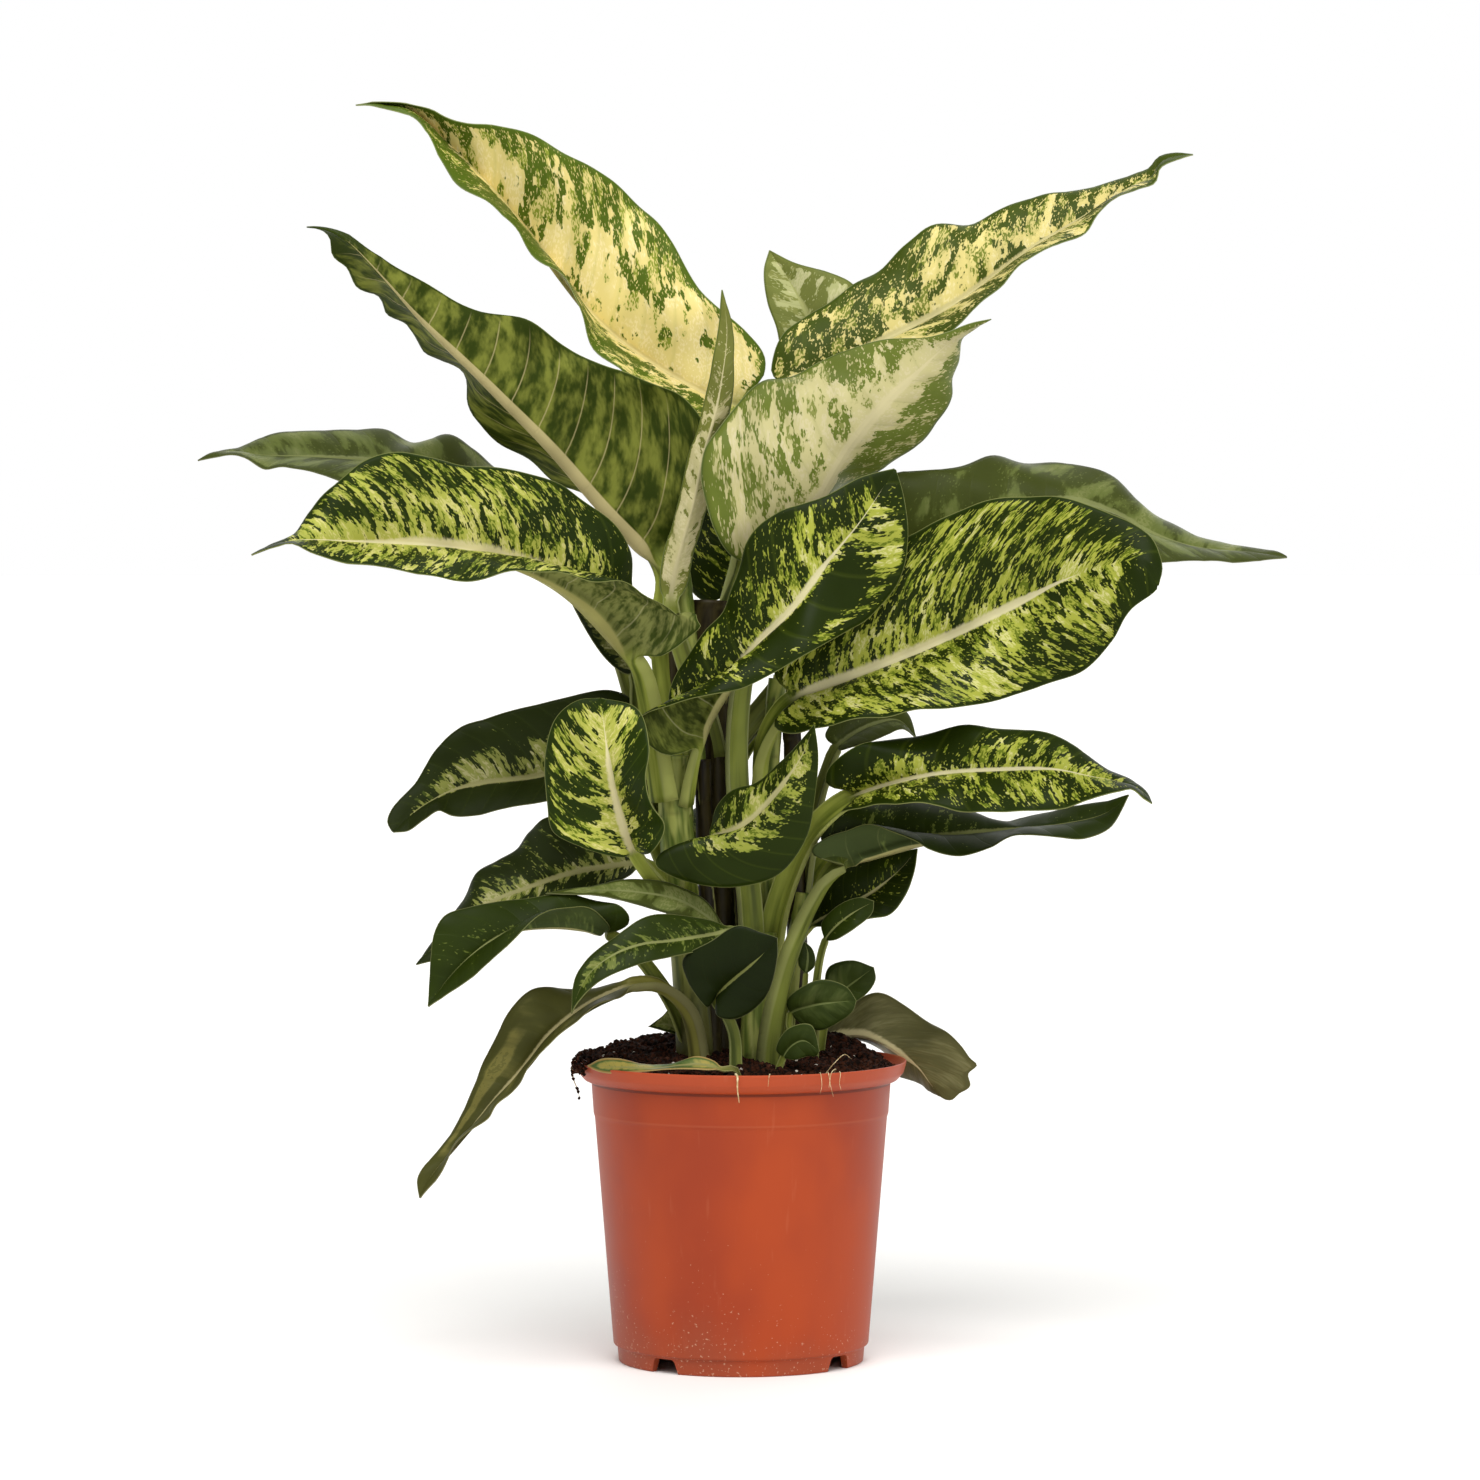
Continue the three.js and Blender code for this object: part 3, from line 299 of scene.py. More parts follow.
# %% Leaves
LEAVES = {
    "leaf_crown_left": dict(
        stalk=[[-8, 24, 402], [-9, 33, 420], [-4, 42, 441], [1, 46, 465], [1, 52, 505], [5, 60, 540]],
        rib=[[5, 60, 540], [-20, 66, 552], [-40, 72, 563], [-60, 78, 576], [-80, 84, 592], [-99, 90, 614],
            [-120, 95, 642], [-140, 99, 667], [-168, 104, 696], [-185, 106, 711], [-202, 107, 716],
            [-220, 108, 716]],
        left=[[-12, 528], [-45, 545], [-74, 568], [-87, 590], [-97, 609], [-106, 621], [-126, 643],
            [-139, 655], [-156, 669], [-171, 684], [-179, 700], [-189, 711], [-204, 714.5]],
        right=[[14, 572], [3, 587], [-22, 610], [-40, 639], [-49, 651], [-62, 664], [-85, 681], [-101, 689],
            [-120, 700], [-140, 705], [-158, 706], [-169, 709], [-179, 714.5], [-190, 717.5], [-204, 718]],
        half=60, lean=[-0.9, -0.5], stem=4.2, rib_share=0.03, wave=1.5),
    "leaf_upper_left": dict(
        stalk=[[-34, 4, 322], [-37, 17, 350], [-43, 21, 385], [-46, 23, 420], [-44, 24, 450]],
        rib=[[-44, 24, 450], [-57, 23, 465], [-80, 20, 489], [-108, 14, 521], [-140, 3, 553],
            [-180, -12, 592], [-205, -24, 620], [-224, -31, 639], [-235, -34, 645], [-248, -37, 647]],
        left=[[-36, 462], [-27, 490], [-22, 515], [-21, 534], [-28, 544], [-44, 557], [-80, 569],
            [-100, 579], [-120, 594], [-151, 600], [-180, 615], [-208, 632], [-224, 643], [-236, 646.5]],
        right=[[-62, 466], [-80, 486], [-100, 501], [-123, 515], [-142, 526], [-150, 538], [-159, 563],
            [-172, 571], [-181, 576], [-189, 593], [-202, 597], [-207, 607], [-219, 613], [-224, 624],
            [-232, 631], [-234, 640], [-238, 644.5]],
        half=60, lean=[0.4, 0.9], stem=4.6),
    "leaf_crown_right": dict(
        stalk=[[6, 32, 432], [16, 34, 451], [20, 42, 476], [23, 54, 512], [25, 66, 548]],
        rib=[[25, 66, 548], [50, 73, 564], [75, 80, 579], [120, 92, 602], [165, 103, 634], [205, 111, 659],
            [223, 113, 670], [234, 114, 676], [240, 114, 684.5], [248, 114, 687], [258, 114, 688]],
        left=[[17, 560], [25, 588], [49, 603], [74, 620], [94, 637], [106, 646], [128, 649], [156, 660],
            [185, 667.5], [208, 671.5], [224, 677], [232, 680], [237, 686.5], [247, 689]],
        right=[[42, 546], [80, 562], [120, 587], [135, 602], [149, 616], [170, 632], [195, 644], [203, 653],
            [213, 663], [225, 668], [235, 672], [238, 680], [246, 684]],
        half=56, lean=[0.4, -0.6], stem=4.2, rib_share=0.05),
    "leaf_crown_small": dict(
        stalk=[[6, 39, 449], [10, 50, 468], [20, 63, 492], [38, 80, 525], [52, 90, 548]],
        rib=[[52, 90, 548], [47, 96, 570], [40, 101, 592], [30, 105, 612], [16, 108, 634]],
        left=[[36, 552], [24, 572], [20, 590], [15, 604], [13, 622]],
        right=[[68, 562], [76, 586], [66, 612], [50, 621], [30, 627]],
        half=30, lean=[-0.3, -0.3], stem=3),
    "leaf_rolled": dict(
        stalk=[[-14, 10, 345], [-20, 4, 370], [-32, 0, 400], [-40, -2, 430]],
        rib=[[-40, -2, 430], [-39, -3, 445], [-34, -4, 465], [-27, -5, 490], [-22, -5, 515], [-15, -4, 540],
            [-11, -3, 560], [-8, -2, 585], [-9, -1, 600], [-11, 0, 612]],
        left=[[-46, 440], [-43, 465], [-36, 490], [-30, 515], [-23, 540], [-18, 560], [-13, 590]],
        right=[[-32, 440], [-26, 465], [-19, 490], [-13, 515], [-7, 540], [-4, 560], [-5, 590]],
        half=17, lean=[0.8, 0.8], stem=5, arch=0),
    "leaf_crown_front": dict(
        stalk=[[7, -2, 225], [5, -3, 262], [1, -4, 300], [-2, -5, 330], [-2, -5, 362], [2, -6, 395],
            [13, -7, 432], [28, -8, 468]],
        rib=[[28, -8, 468], [43, -5, 490], [62, 0, 522], [84, 8, 549], [102, 16, 566], [122, 25, 584],
            [143, 30, 595]],
        left=[[10, 455, -2], [-5, 460, -6], [-15, 475, -12], [-20, 490, -16], [-23, 506, -18],
            [-21, 520, -16], [-14, 531, -12], [-3, 544, -8], [13, 559, -4], [31, 565], [58, 576], [77, 582],
            [104, 584], [118, 587.5], [131, 592.5]],
        right=[[40, 474], [54, 496], [67, 505], [83, 510], [94, 517], [110, 535], [119, 549], [121, 560],
            [125, 571], [125, 583], [133, 590]],
        half=60, lean=[-0.3, 0.6], stem=4.6, rib_share=0.08),
    "leaf_centre": dict(
        stalk=[[-33, -8, 320], [-30, -16, 336], [-27, -21, 348]],
        rib=[[-27, -20, 348], [-22, -24, 362], [-8, -31, 385], [12, -37, 411], [30, -41, 430],
            [48, -41, 455], [69, -38, 481], [88, -33, 510]],
        left=[[-34, 360], [-41, 378], [-37, 393], [-28, 407], [-20, 418], [-10, 428], [-4, 444], [2, 466],
            [10, 477], [22, 485], [34, 489], [49, 495], [69, 505]],
        right=[[-34, 346, -8], [-45, 347, -14], [-57, 355, -18], [-65, 362, -20], [-54, 369, -20],
            [-38, 375, -16], [-18, 380, -10], [0, 385, -6], [20, 394], [41, 406], [60, 417], [73, 424],
            [89, 444], [95, 470], [92, 497]],
        half=42, lean=[0.3, -0.6], stem=4.4),
    "leaf_broad_right": dict(
        stalk=[[10, 6, 228], [11, 14, 258], [10, 12, 300], [9, 5, 335], [11, 0, 350], [17, -5, 364],
            [26, -10, 375]],
        rib=[[26, -10, 374], [41, -12.5, 383], [61, -16, 390], [90, -24, 401], [120, -34, 414],
            [152, -47.5, 430], [186, -64, 447], [210, -76, 455], [228, -85, 456], [238, -87.5, 442]],
        left=[[18, 388], [28, 412], [52, 440], [78, 462], [99, 474], [121, 484], [140, 491], [160, 494],
            [180, 494], [210, 484], [234, 471], [240, 455]],
        right=[[17, 366], [22, 360], [43, 361], [61, 365], [91, 371], [121, 373], [152, 379], [170, 386],
            [196, 395], [212, 412], [223, 430], [234, 438]],
        half=60, lean=[0.4, -0.8], stem=5.6, rib_share=0.06, rib_end=0.84),
    "leaf_back_right": dict(
        stalk=[[-11, 18, 345], [10, 25, 370], [44, 30, 412], [74, 32, 447], [92, 34, 464]],
        rib=[[92, 34, 464], [130, 38, 477], [160, 42, 487], [188, 46, 492], [212, 50, 485], [234, 53, 473],
            [259, 56, 465], [290, 58, 462], [312, 60, 459]],
        left=[[80, 478], [79, 498], [90, 508], [121, 510], [140, 515], [156, 515], [180, 513], [204, 508],
            [219, 498], [236, 484], [259, 471], [279, 466], [304, 463]],
        right=[[112, 450], [150, 452], [190, 458], [225, 460], [239, 456], [259, 457], [294, 457]],
        half=44, lean=[0.9, -0.8], stem=4.4),
    "leaf_back_left": dict(
        stalk=[[-43, 4.5, 315], [-52, 17, 339], [-60, 26, 375], [-72, 35, 412], [-90, 42, 440],
            [-110, 47, 468], [-124, 50, 484]],
        rib=[[-124, 50, 484], [-145, 50, 497], [-170, 52, 507], [-200, 55, 513], [-240, 60, 516],
            [-270, 64, 517], [-300, 68, 519], [-310, 68, 514]],
        left=[[-138, 474], [-170, 482], [-200, 494], [-230, 504], [-259, 510], [-271, 509], [-284, 517]],
        right=[[-120, 500], [-142, 511], [-152, 520], [-166, 528], [-187, 526], [-202, 531], [-232, 531],
            [-254, 532], [-272, 527], [-284, 522]],
        half=36, lean=[-0.9, 0.9], stem=4),
    "leaf_broad_left": dict(
        stalk=[[-42, -8, 322], [-47, -13, 352], [-51, -16, 380], [-57, -21, 400]],
        rib=[[-57, -21, 400], [-72, -27.5, 417], [-92, -38, 436], [-115, -51, 450], [-145, -69, 460],
            [-180, -92.5, 466], [-221, -116, 468], [-248, -131, 469], [-258, -136, 468],
            [-280, -144.5, 460]],
        left=[[-43, 404, -12], [-31, 413, -20], [-22, 421, -22], [-34, 427, -14], [-57, 438, -6],
            [-80, 447], [-100, 450], [-120, 450], [-139, 449], [-157, 447], [-169, 447], [-200, 452],
            [-225, 457], [-246, 462], [-257, 466.5], [-268, 464]],
        right=[[-58, 425], [-62, 445], [-64, 464], [-80, 485], [-100, 499], [-120, 506], [-139, 510],
            [-170, 514], [-195, 519], [-208, 517], [-220, 511], [-233, 499], [-246, 484], [-254, 473],
            [-260, 468.8], [-269, 466]],
        half=56, lean=[-0.9, 0.8], stem=7, rib_share=0.105),
    "leaf_dark_left": dict(
        stalk=[[-45, -0.5, 323], [-55, 1.5, 346], [-60, 4, 376], [-61, 5, 392]],
        rib=[[-60, 5, 392], [-72, 9, 408], [-85, 14, 424], [-100, 18, 440]],
        left=[[-67, 393], [-76, 400], [-84, 410], [-94, 428]],
        right=[[-57, 404], [-63, 420], [-78, 436]],
        half=15, lean=[-0.5, 0.5], stem=3.2),
    "leaf_low_left": dict(
        stalk=[[-36, 0, 270], [-46, 4, 293], [-58, 10, 322], [-65, 13, 341], [-70, 14, 348]],
        rib=[[-70, 14, 348], [-92, 13, 341], [-117, 10, 334], [-149, 6, 330], [-165, 2, 326],
            [-177, -3, 320], [-190, -9, 311], [-199, -14, 302]],
        left=[[-82, 334], [-98, 326], [-113, 320], [-134, 316], [-150, 311.5], [-164, 312], [-172, 315],
            [-180, 310], [-190, 303]],
        right=[[-62, 362], [-62, 378], [-74, 384], [-100, 379], [-120, 374], [-144, 368], [-160, 363],
            [-174, 349], [-186, 330], [-199, 316], [-202, 308]],
        half=44, lean=[-0.5, 0.4], stem=4.2, rib_share=0.05, rib_end=0.95),
    "leaf_side_left": dict(
        stalk=[[-31, -8, 240], [-37, -18, 256], [-44, -26, 268], [-53, -34, 279], [-60, -40, 289]],
        rib=[[-60, -40, 289], [-66, -48, 303], [-71, -55, 322], [-75, -60, 341], [-78, -61, 362],
            [-80, -58, 379]],
        left=[[-70, 288], [-89, 293], [-107, 303], [-111, 318], [-112, 345], [-106, 367], [-94, 377]],
        right=[[-50, 292], [-44, 304], [-51, 318], [-54, 333], [-52, 351], [-60, 374]],
        half=36, lean=[-0.4, -0.8], stem=3.4),
    "leaf_heart": dict(
        stalk=[[-30, -8, 262], [-30, -22, 278], [-26, -32, 290], [-20, -38, 297]],
        rib=[[-20, -38, 297], [-8, -43, 301], [4, -47, 307], [14, -50, 317], [25, -53, 331], [36, -55, 348],
            [42, -56, 364]],
        left=[[-17, 306], [-14, 316], [-4, 326], [8, 331], [22, 342], [34, 354]],
        right=[[-32, 294, -2], [-45, 290, -6], [-49, 284, -8], [-40, 277, -6], [-26, 272], [-3, 271],
            [21, 278], [36, 297], [42, 321], [44, 348]],
        half=34, lean=[0.5, -0.7], stem=3.2),
    "leaf_middle_right": dict(
        stalk=[[15, -1, 225], [20, -2, 256], [28, -5, 280], [38, -12, 300], [48, -21, 312], [60, -28, 321]],
        rib=[[60, -28, 321], [79, -37.5, 328], [110, -53.5, 335], [150, -74.5, 338], [180, -90.5, 338],
            [200, -101, 334], [216, -109, 331], [224, -113, 328.5], [231, -116, 323.5], [235, -117.5, 318]],
        left=[[50, 326], [49, 337], [69, 353], [100, 357], [130, 363], [160, 361], [178, 358], [190, 351],
            [204, 342], [215, 336], [223, 332], [231, 325.5]],
        right=[[56, 314], [68, 317], [90, 318], [113, 318], [128, 314], [160, 314], [182, 316], [204, 322],
            [218, 326], [223, 326.5], [229, 322]],
        half=38, lean=[0.8, -0.9], stem=4.8, rib_share=0.042, rib_end=0.95),
    "leaf_twisted_right": dict(
        stalk=[[15, -20, 140], [15, -20, 176], [18, -20, 200], [24, -20, 224], [32, -18, 247],
            [40, -17, 264], [48, -16, 277], [56, -15, 284]],
        rib=[[56, -15, 284], [80, -12, 291], [100, -10, 297], [128, -8, 301], [156, -8, 304],
            [184, -8, 307], [208, -8, 313], [222, -8, 324]],
        left=[[47, 294], [46, 306], [59, 317], [85, 320], [109, 319], [129, 314], [144, 308], [163, 311],
            [192, 317], [211, 321]],
        right=[[46, 286, -4], [40, 292, -8], [50, 300, -8], [60, 304, -4], [74, 306], [98, 297], [108, 292],
            [122, 290], [142, 293], [157, 300], [176, 299.5], [195, 299], [211, 305]],
        half=36, lean=[0.9, -0.9], stem=5.2),
    "leaf_shaded_right": dict(
        stalk=[[34, 17, 255], [38, 20, 288], [43, 23, 318], [49, 25, 338], [54, 26, 350]],
        rib=[[54, 26, 350], [64, 30, 358], [76, 35, 364], [90, 40, 366], [100, 44, 356]],
        left=[[48, 358], [60, 372], [80, 378], [95, 371]],
        right=[[58, 349], [70, 353], [83, 358], [92, 361]],
        half=20, lean=[0.8, -0.8], stem=4),
    "leaf_small_right": dict(
        stalk=[[30, 15, 228], [33, 15, 240], [39, 14, 248]],
        rib=[[39, 14, 248], [51, 12, 255], [65, 10, 262], [78, 8, 270], [93, 4, 283], [101, 2, 293]],
        left=[[42, 260], [47, 272], [56, 281], [72, 287], [91, 291]],
        right=[[54, 249], [72, 253], [85, 255], [94, 266], [99, 279]],
        half=24, lean=[0.6, -0.7], stem=2.6, rib_share=0.04),
    "leaf_curled_right": dict(
        stalk=[[42, -6, 140], [42, -6, 182], [43, -8, 216], [48, -12, 240]],
        rib=[[48, -12, 240], [54, -15, 248], [64, -18, 256], [76, -20, 263]],
        left=[[46, 250], [55, 260], [68, 265]],
        right=[[55, 241], [66, 248], [75, 256]],
        half=11, lean=[0.6, -0.7], stem=2.2, rib_share=0.03),
    "leaf_round_back": dict(
        stalk=[[46, 14, 140], [46, 14, 182], [52, 11, 205]],
        rib=[[52, 11, 205], [60, 9, 213], [68, 7, 219], [76, 6, 225]],
        left=[[48, 214], [50, 225], [63, 229]],
        right=[[62, 204], [72, 210], [77, 218]],
        half=14, lean=[-0.3, -0.3], stem=2.2, rib_share=0.025),
    "leaf_round_front": dict(
        stalk=[[29, -11, 140], [29, -11, 180], [28, -12, 198]],
        rib=[[28, -12, 198], [40, -17, 203], [54, -20, 205], [66, -21, 206]],
        left=[[26, 206], [35, 214], [46, 218], [60, 214]],
        right=[[36, 192], [46, 189], [57, 194], [64, 200]],
        half=14, lean=[-0.4, 0.4], stem=2.2, rib_share=0.025),
    "leaf_tiny_right": dict(
        stalk=[[35, 0, 140], [35, 0, 180], [37, 0, 221]],
        rib=[[37, 0, 221], [38, -1, 228], [38, -1, 234], [36, 0, 240]],
        left=[[33, 226], [33, 235]],
        right=[[42, 226], [41, 235]],
        half=5, lean=[0.5, 0.5], stem=1.6),
    "leaf_drooping_right": dict(
        stalk=[[37, 34, 140], [37, 34, 160], [38, 34, 170], [43, 36, 179]],
        rib=[[43, 36, 179], [53, 38, 185], [68, 41, 186], [80, 44, 182], [90, 46, 176], [101, 47, 168],
            [108, 48, 159], [114, 49, 151]],
        left=[[46, 188], [54, 196], [64, 204], [78, 210], [92, 204], [106, 195], [118, 188], [126, 180],
            [131, 173], [135, 169], [130, 164], [131, 157], [125, 153], [120, 149]],
        right=[[50, 181], [62, 183.5], [73, 182], [82, 177], [87, 169], [90, 163.5], [97, 161], [103, 158],
            [107, 154]],
        half=32, lean=[0.6, 0.9], stem=3.6, rib_share=0.13),
    "leaf_drooping_left": dict(
        stalk=[[-24, -22, 140], [-24, -22, 178], [-29, -24, 200], [-37, -27, 210], [-48, -31, 216],
            [-60, -36, 216]],
        rib=[[-60, -36, 216], [-74, -42, 211], [-90, -48, 202], [-110, -57, 186], [-123, -63, 169],
            [-137, -68, 153], [-151, -72, 137], [-165, -76, 120], [-178, -79, 104], [-184, -80, 92]],
        left=[[-68, 208], [-80, 204], [-100, 190], [-120, 169], [-126, 158], [-140, 147], [-145, 138],
            [-158, 129], [-164, 122], [-171, 108]],
        right=[[-72, 216], [-84, 213], [-100, 213], [-120, 212], [-133, 199], [-144, 178], [-152, 158],
            [-161, 138], [-172, 122], [-185, 104]],
        half=26, lean=[-0.8, 0.5], stem=4.6, rib_share=0.05),
    "leaf_streaked_left": dict(
        stalk=[[-32, -6, 250], [-38, -10, 266], [-46, -12, 278], [-55, -14, 284]],
        rib=[[-55, -14, 284], [-80, -17, 282], [-100, -20, 278], [-123, -25, 270], [-145, -31, 261],
            [-165, -37, 246], [-186, -43, 226]],
        left=[[-66, 276], [-82, 270], [-105, 264], [-130, 256], [-152, 245], [-170, 231]],
        right=[[-60, 296], [-85, 308], [-110, 311], [-120, 302], [-128, 293], [-140, 287], [-151, 279],
            [-156, 267], [-163, 257], [-176, 240]],
        half=34, lean=[-0.3, 0.8], stem=3.2, rib_share=0.045),
    "leaf_arched_left": dict(
        stalk=[[-28, -6, 176], [-38, -15, 202], [-50, -23, 221], [-62, -32, 235], [-74, -40, 243]],
        rib=[[-74, -40, 243], [-90, -56, 248], [-110, -67.5, 249], [-130, -74.5, 246], [-150, -81.5, 235],
            [-166, -86, 220], [-179, -90.5, 202]],
        left=[[-76, 250], [-84, 257], [-96, 260], [-110, 258], [-122, 249], [-130, 240], [-137, 233],
            [-146, 226], [-156, 218], [-170, 208]],
        right=[[-67, 246], [-64, 254], [-70, 261], [-84, 264], [-100, 267], [-123, 264], [-155, 260],
            [-169, 255], [-175, 245], [-177, 232], [-178, 216]],
        half=28, lean=[-0.9, 0.5], stem=3, rib_share=0.035),
    "leaf_pale_left": dict(
        stalk=[[7, -8, 222], [-1, -18, 236], [-10, -25, 246]],
        rib=[[-10, -25, 246], [-22, -30, 256], [-37, -37, 264], [-60, -45, 268], [-85, -53, 269],
            [-112, -60, 267]],
        left=[[-17, 244], [-29, 252], [-43, 256], [-60, 261], [-80, 265.5], [-98, 266.5]],
        right=[[-12, 252], [-22, 265], [-34, 271], [-47, 274.5], [-68, 275], [-86, 271.5], [-100, 269.5]],
        half=15, lean=[-0.5, 0.5], stem=2.8, rib_share=0.03),
    "leaf_front_left": dict(
        stalk=[[6, -10, 205], [3, -26, 226], [-4, -40, 246]],
        rib=[[-4, -40, 246], [-15, -50, 244], [-40, -66, 240], [-57, -74, 238], [-73, -80, 232],
            [-86, -84, 222], [-93, -87, 210], [-97, -89, 198]],
        left=[[-9, 240], [-21, 235], [-40, 231], [-60, 226], [-82, 216], [-93, 205]],
        right=[[-12, 250], [-22, 253], [-33, 255], [-54, 254], [-71, 243], [-86, 232], [-95, 218]],
        half=21, lean=[-0.4, 0.2], stem=2.8, rib_share=0.035),
    "leaf_dark_front": dict(
        stalk=[[-3, -46, 140], [-3, -46, 168], [-4, -42, 187], [-9, -43, 199], [-15, -52, 207]],
        rib=[[-15, -52, 207], [-8, -60, 215], [4, -67, 225], [12, -70, 232], [21, -73, 242]],
        left=[[-19, 202], [-25, 208], [-31, 218], [-33, 230], [-17, 240], [-2, 249], [12, 245]],
        right=[[-13, 197], [-3, 195.5], [8, 201], [16, 211], [21, 231]],
        half=21, lean=[-0.4, -0.4], stem=3, rib_share=0.035, rib_end=0.86),
    "leaf_yellowing": dict(
        stalk=[[-1, -60, 140], [-1, -60, 155], [-1, -62, 163], [-4, -68, 167], [-10, -73, 166.5]],
        rib=[[-10, -73, 166.5], [-22, -75, 169], [-36, -75, 168.5], [-50, -73, 167], [-62, -67, 167.5],
            [-76, -58, 168], [-88, -47, 168.5]],
        left=[[-18, 166], [-28, 166.5], [-46, 166], [-57, 165], [-73, 164], [-82, 165.5]],
        right=[[-14, 170.5], [-20, 173], [-26, 174], [-32, 172.5], [-39, 170], [-50, 169], [-57, 169.5],
            [-69, 172.5], [-80, 172.5]],
        half=9, lean=[-0.6, 0.8], stem=1.8, arch=0.03),
    "leaf_base_right": dict(
        stalk=[[22, -40, 140], [22, -40, 168], [24, -41, 173]],
        rib=[[24, -41, 173], [29, -44, 180], [36, -47, 183], [45, -50, 177]],
        left=[[20, 178], [27, 190], [40, 192]],
        right=[[31, 172], [38, 174], [43, 174]],
        half=9, lean=[0.5, -0.6], stem=2, rib_share=0.02),
    "leaf_sprout_left": dict(
        stalk=[[-34, 6, 140], [-34, 6, 176], [-35, 5, 186]],
        rib=[[-35, 5, 186], [-39, 4, 191], [-45, 3, 192.5], [-53, 2, 191]],
        left=[[-39, 187], [-46, 189]],
        right=[[-33, 196], [-38, 203], [-45, 197]],
        half=7, lean=[-0.4, 0.4], stem=1.8),
    "leaf_behind_upper": dict(
        stalk=[[-9, 23, 392], [-6, 44, 418], [0, 63, 441], [6, 78, 455]],
        rib=[[6, 78, 455], [10, 90.5, 472], [14, 105, 487], [20, 122.5, 497], [26, 139.5, 497],
            [34, 155.5, 490]],
        left=[[-8, 438], [-20, 434], [-29, 443], [-28, 470], [-18, 494], [0, 510], [20, 505]],
        right=[[25, 450], [45, 462], [55, 480], [55, 498], [45, 503]],
        half=50, lean=[0, 0], stem=3.8),
    "leaf_behind_left": dict(
        stalk=[[-14, 26, 340], [-26, 46, 378], [-50, 66, 408], [-76, 82, 434], [-98, 96, 454]],
        rib=[[-98, 96, 454], [-122, 112, 469], [-148, 127.5, 481], [-173, 143.5, 487], [-195, 156.5, 483]],
        left=[[-106, 450], [-122, 455], [-150, 460], [-180, 466], [-195, 474]],
        right=[[-96, 468], [-112, 490], [-143, 504], [-173, 507], [-192, 498]],
        half=42, lean=[-0.3, 0.3], stem=4),
    "leaf_behind_right": dict(
        stalk=[[-10, 26, 330], [8, 44, 360], [36, 62, 380], [60, 76, 394]],
        rib=[[60, 76, 394], [90, 96, 412], [120, 118, 428], [146, 138.5, 438], [168, 157.5, 438]],
        left=[[54, 412], [74, 440], [104, 462], [140, 468], [164, 454]],
        right=[[76, 384], [105, 388], [142, 400], [164, 420]],
        half=48, lean=[0.2, -0.2], stem=4),
    "leaf_behind_low_left": dict(
        stalk=[[-12, 21, 275], [-30, 46, 300], [-58, 66, 320], [-80, 82, 334]],
        rib=[[-80, 82, 334], [-105, 100, 344], [-130, 118, 350], [-154, 136, 348], [-172, 150, 338]],
        left=[[-92, 332], [-120, 333], [-148, 334], [-166, 333]],
        right=[[-80, 350], [-98, 366], [-130, 366], [-154, 359], [-169, 348]],
        half=32, lean=[-0.5, 0.3], stem=3.6),
    "leaf_behind_low_right": dict(
        stalk=[[33, 20, 250], [42, 38, 278], [58, 52, 298], [75, 64, 310]],
        rib=[[75, 64, 310], [100, 80, 322], [130, 98, 330], [158, 114, 332], [180, 128, 325]],
        left=[[70, 324], [90, 343], [125, 352], [160, 350], [178, 338]],
        right=[[92, 309], [125, 315], [155, 319], [176, 319]],
        half=30, lean=[0.3, -0.5], stem=3.6),
    "leaf_behind_low": dict(
        stalk=[[-11, 22, 240], [-10, 44, 262], [-8, 62, 280]],
        rib=[[-8, 62, 280], [-4, 85, 297], [0, 111.5, 307], [5, 136, 306], [9, 157, 298]],
        left=[[-22, 284], [-33, 300], [-30, 314], [-14, 318]],
        right=[[10, 281], [28, 292], [32, 308], [22, 314]],
        half=34, lean=[0, 0], stem=3.6),
}

print("canes:", len(CANES), "leaves:", len(LEAVES))

# %% [markdown]
# ## Leaf shape
#
# A blade is a thin sheet hung between three curves: the midrib and its two margins. Each half arches
# a little between them. A real blade isn't a flat sheet: it is quilted, because it swells between
# the side veins that run from the midrib towards the tip, and its margin waves. Both are added as
# small moves along the sheet's own normals. The underside carries the midrib as a round keel that
# grows out of the stalk, so the stalk and the blade are made as one skin.

# %% Margins of a blade
# A power below 1 moves the widest place towards the base, and one below 1 makes the outline fuller
WIDEST_TOWARDS_BASE = 0.75
FULLNESS = 0.7


def half_outline(t):
    """The outline of a true half blade, as a share of its greatest width."""
    return np.sin(np.pi * np.clip(t, 0, 1) ** WIDEST_TOWARDS_BASE) ** FULLNESS


def margin_curve(leaf, side):
    """The margin on one side (0 left, 1 right), with its depth worked out from the half's width."""
    rib = smooth_curve(leaf["rib"])
    base, tip = leaf["rib"][0], leaf["rib"][-1]
    margin = leaf["left"] if side == 0 else leaf["right"]
    seen = [[base[0], base[2], 0]] + [[*p, 0][:3] for p in margin] + [[tip[0], tip[2], 0]]
    seen = np.array(seen, float)
    steps = np.linalg.norm(np.diff(seen[:, :2], axis=0), axis=1)
    reach = np.concatenate([[0], np.cumsum(steps)]) / steps.sum()
    middle = rib(reach)
    apart = np.hypot(seen[:, 0] - middle[:, 0], seen[:, 1] - middle[:, 2])
    half = leaf["half"] * half_outline(reach)
    depth = leaf["lean"][side] * np.sqrt(np.maximum(half ** 2 - apart ** 2, 0))
    points = np.column_stack([seen[:, 0], middle[:, 1] + depth + seen[:, 2], seen[:, 1]])
    points[0], points[-1] = base, tip
    return smooth_curve(sight(points))


print("widest at", np.argmax(half_outline(np.linspace(0, 1, 101))), "% of the length")

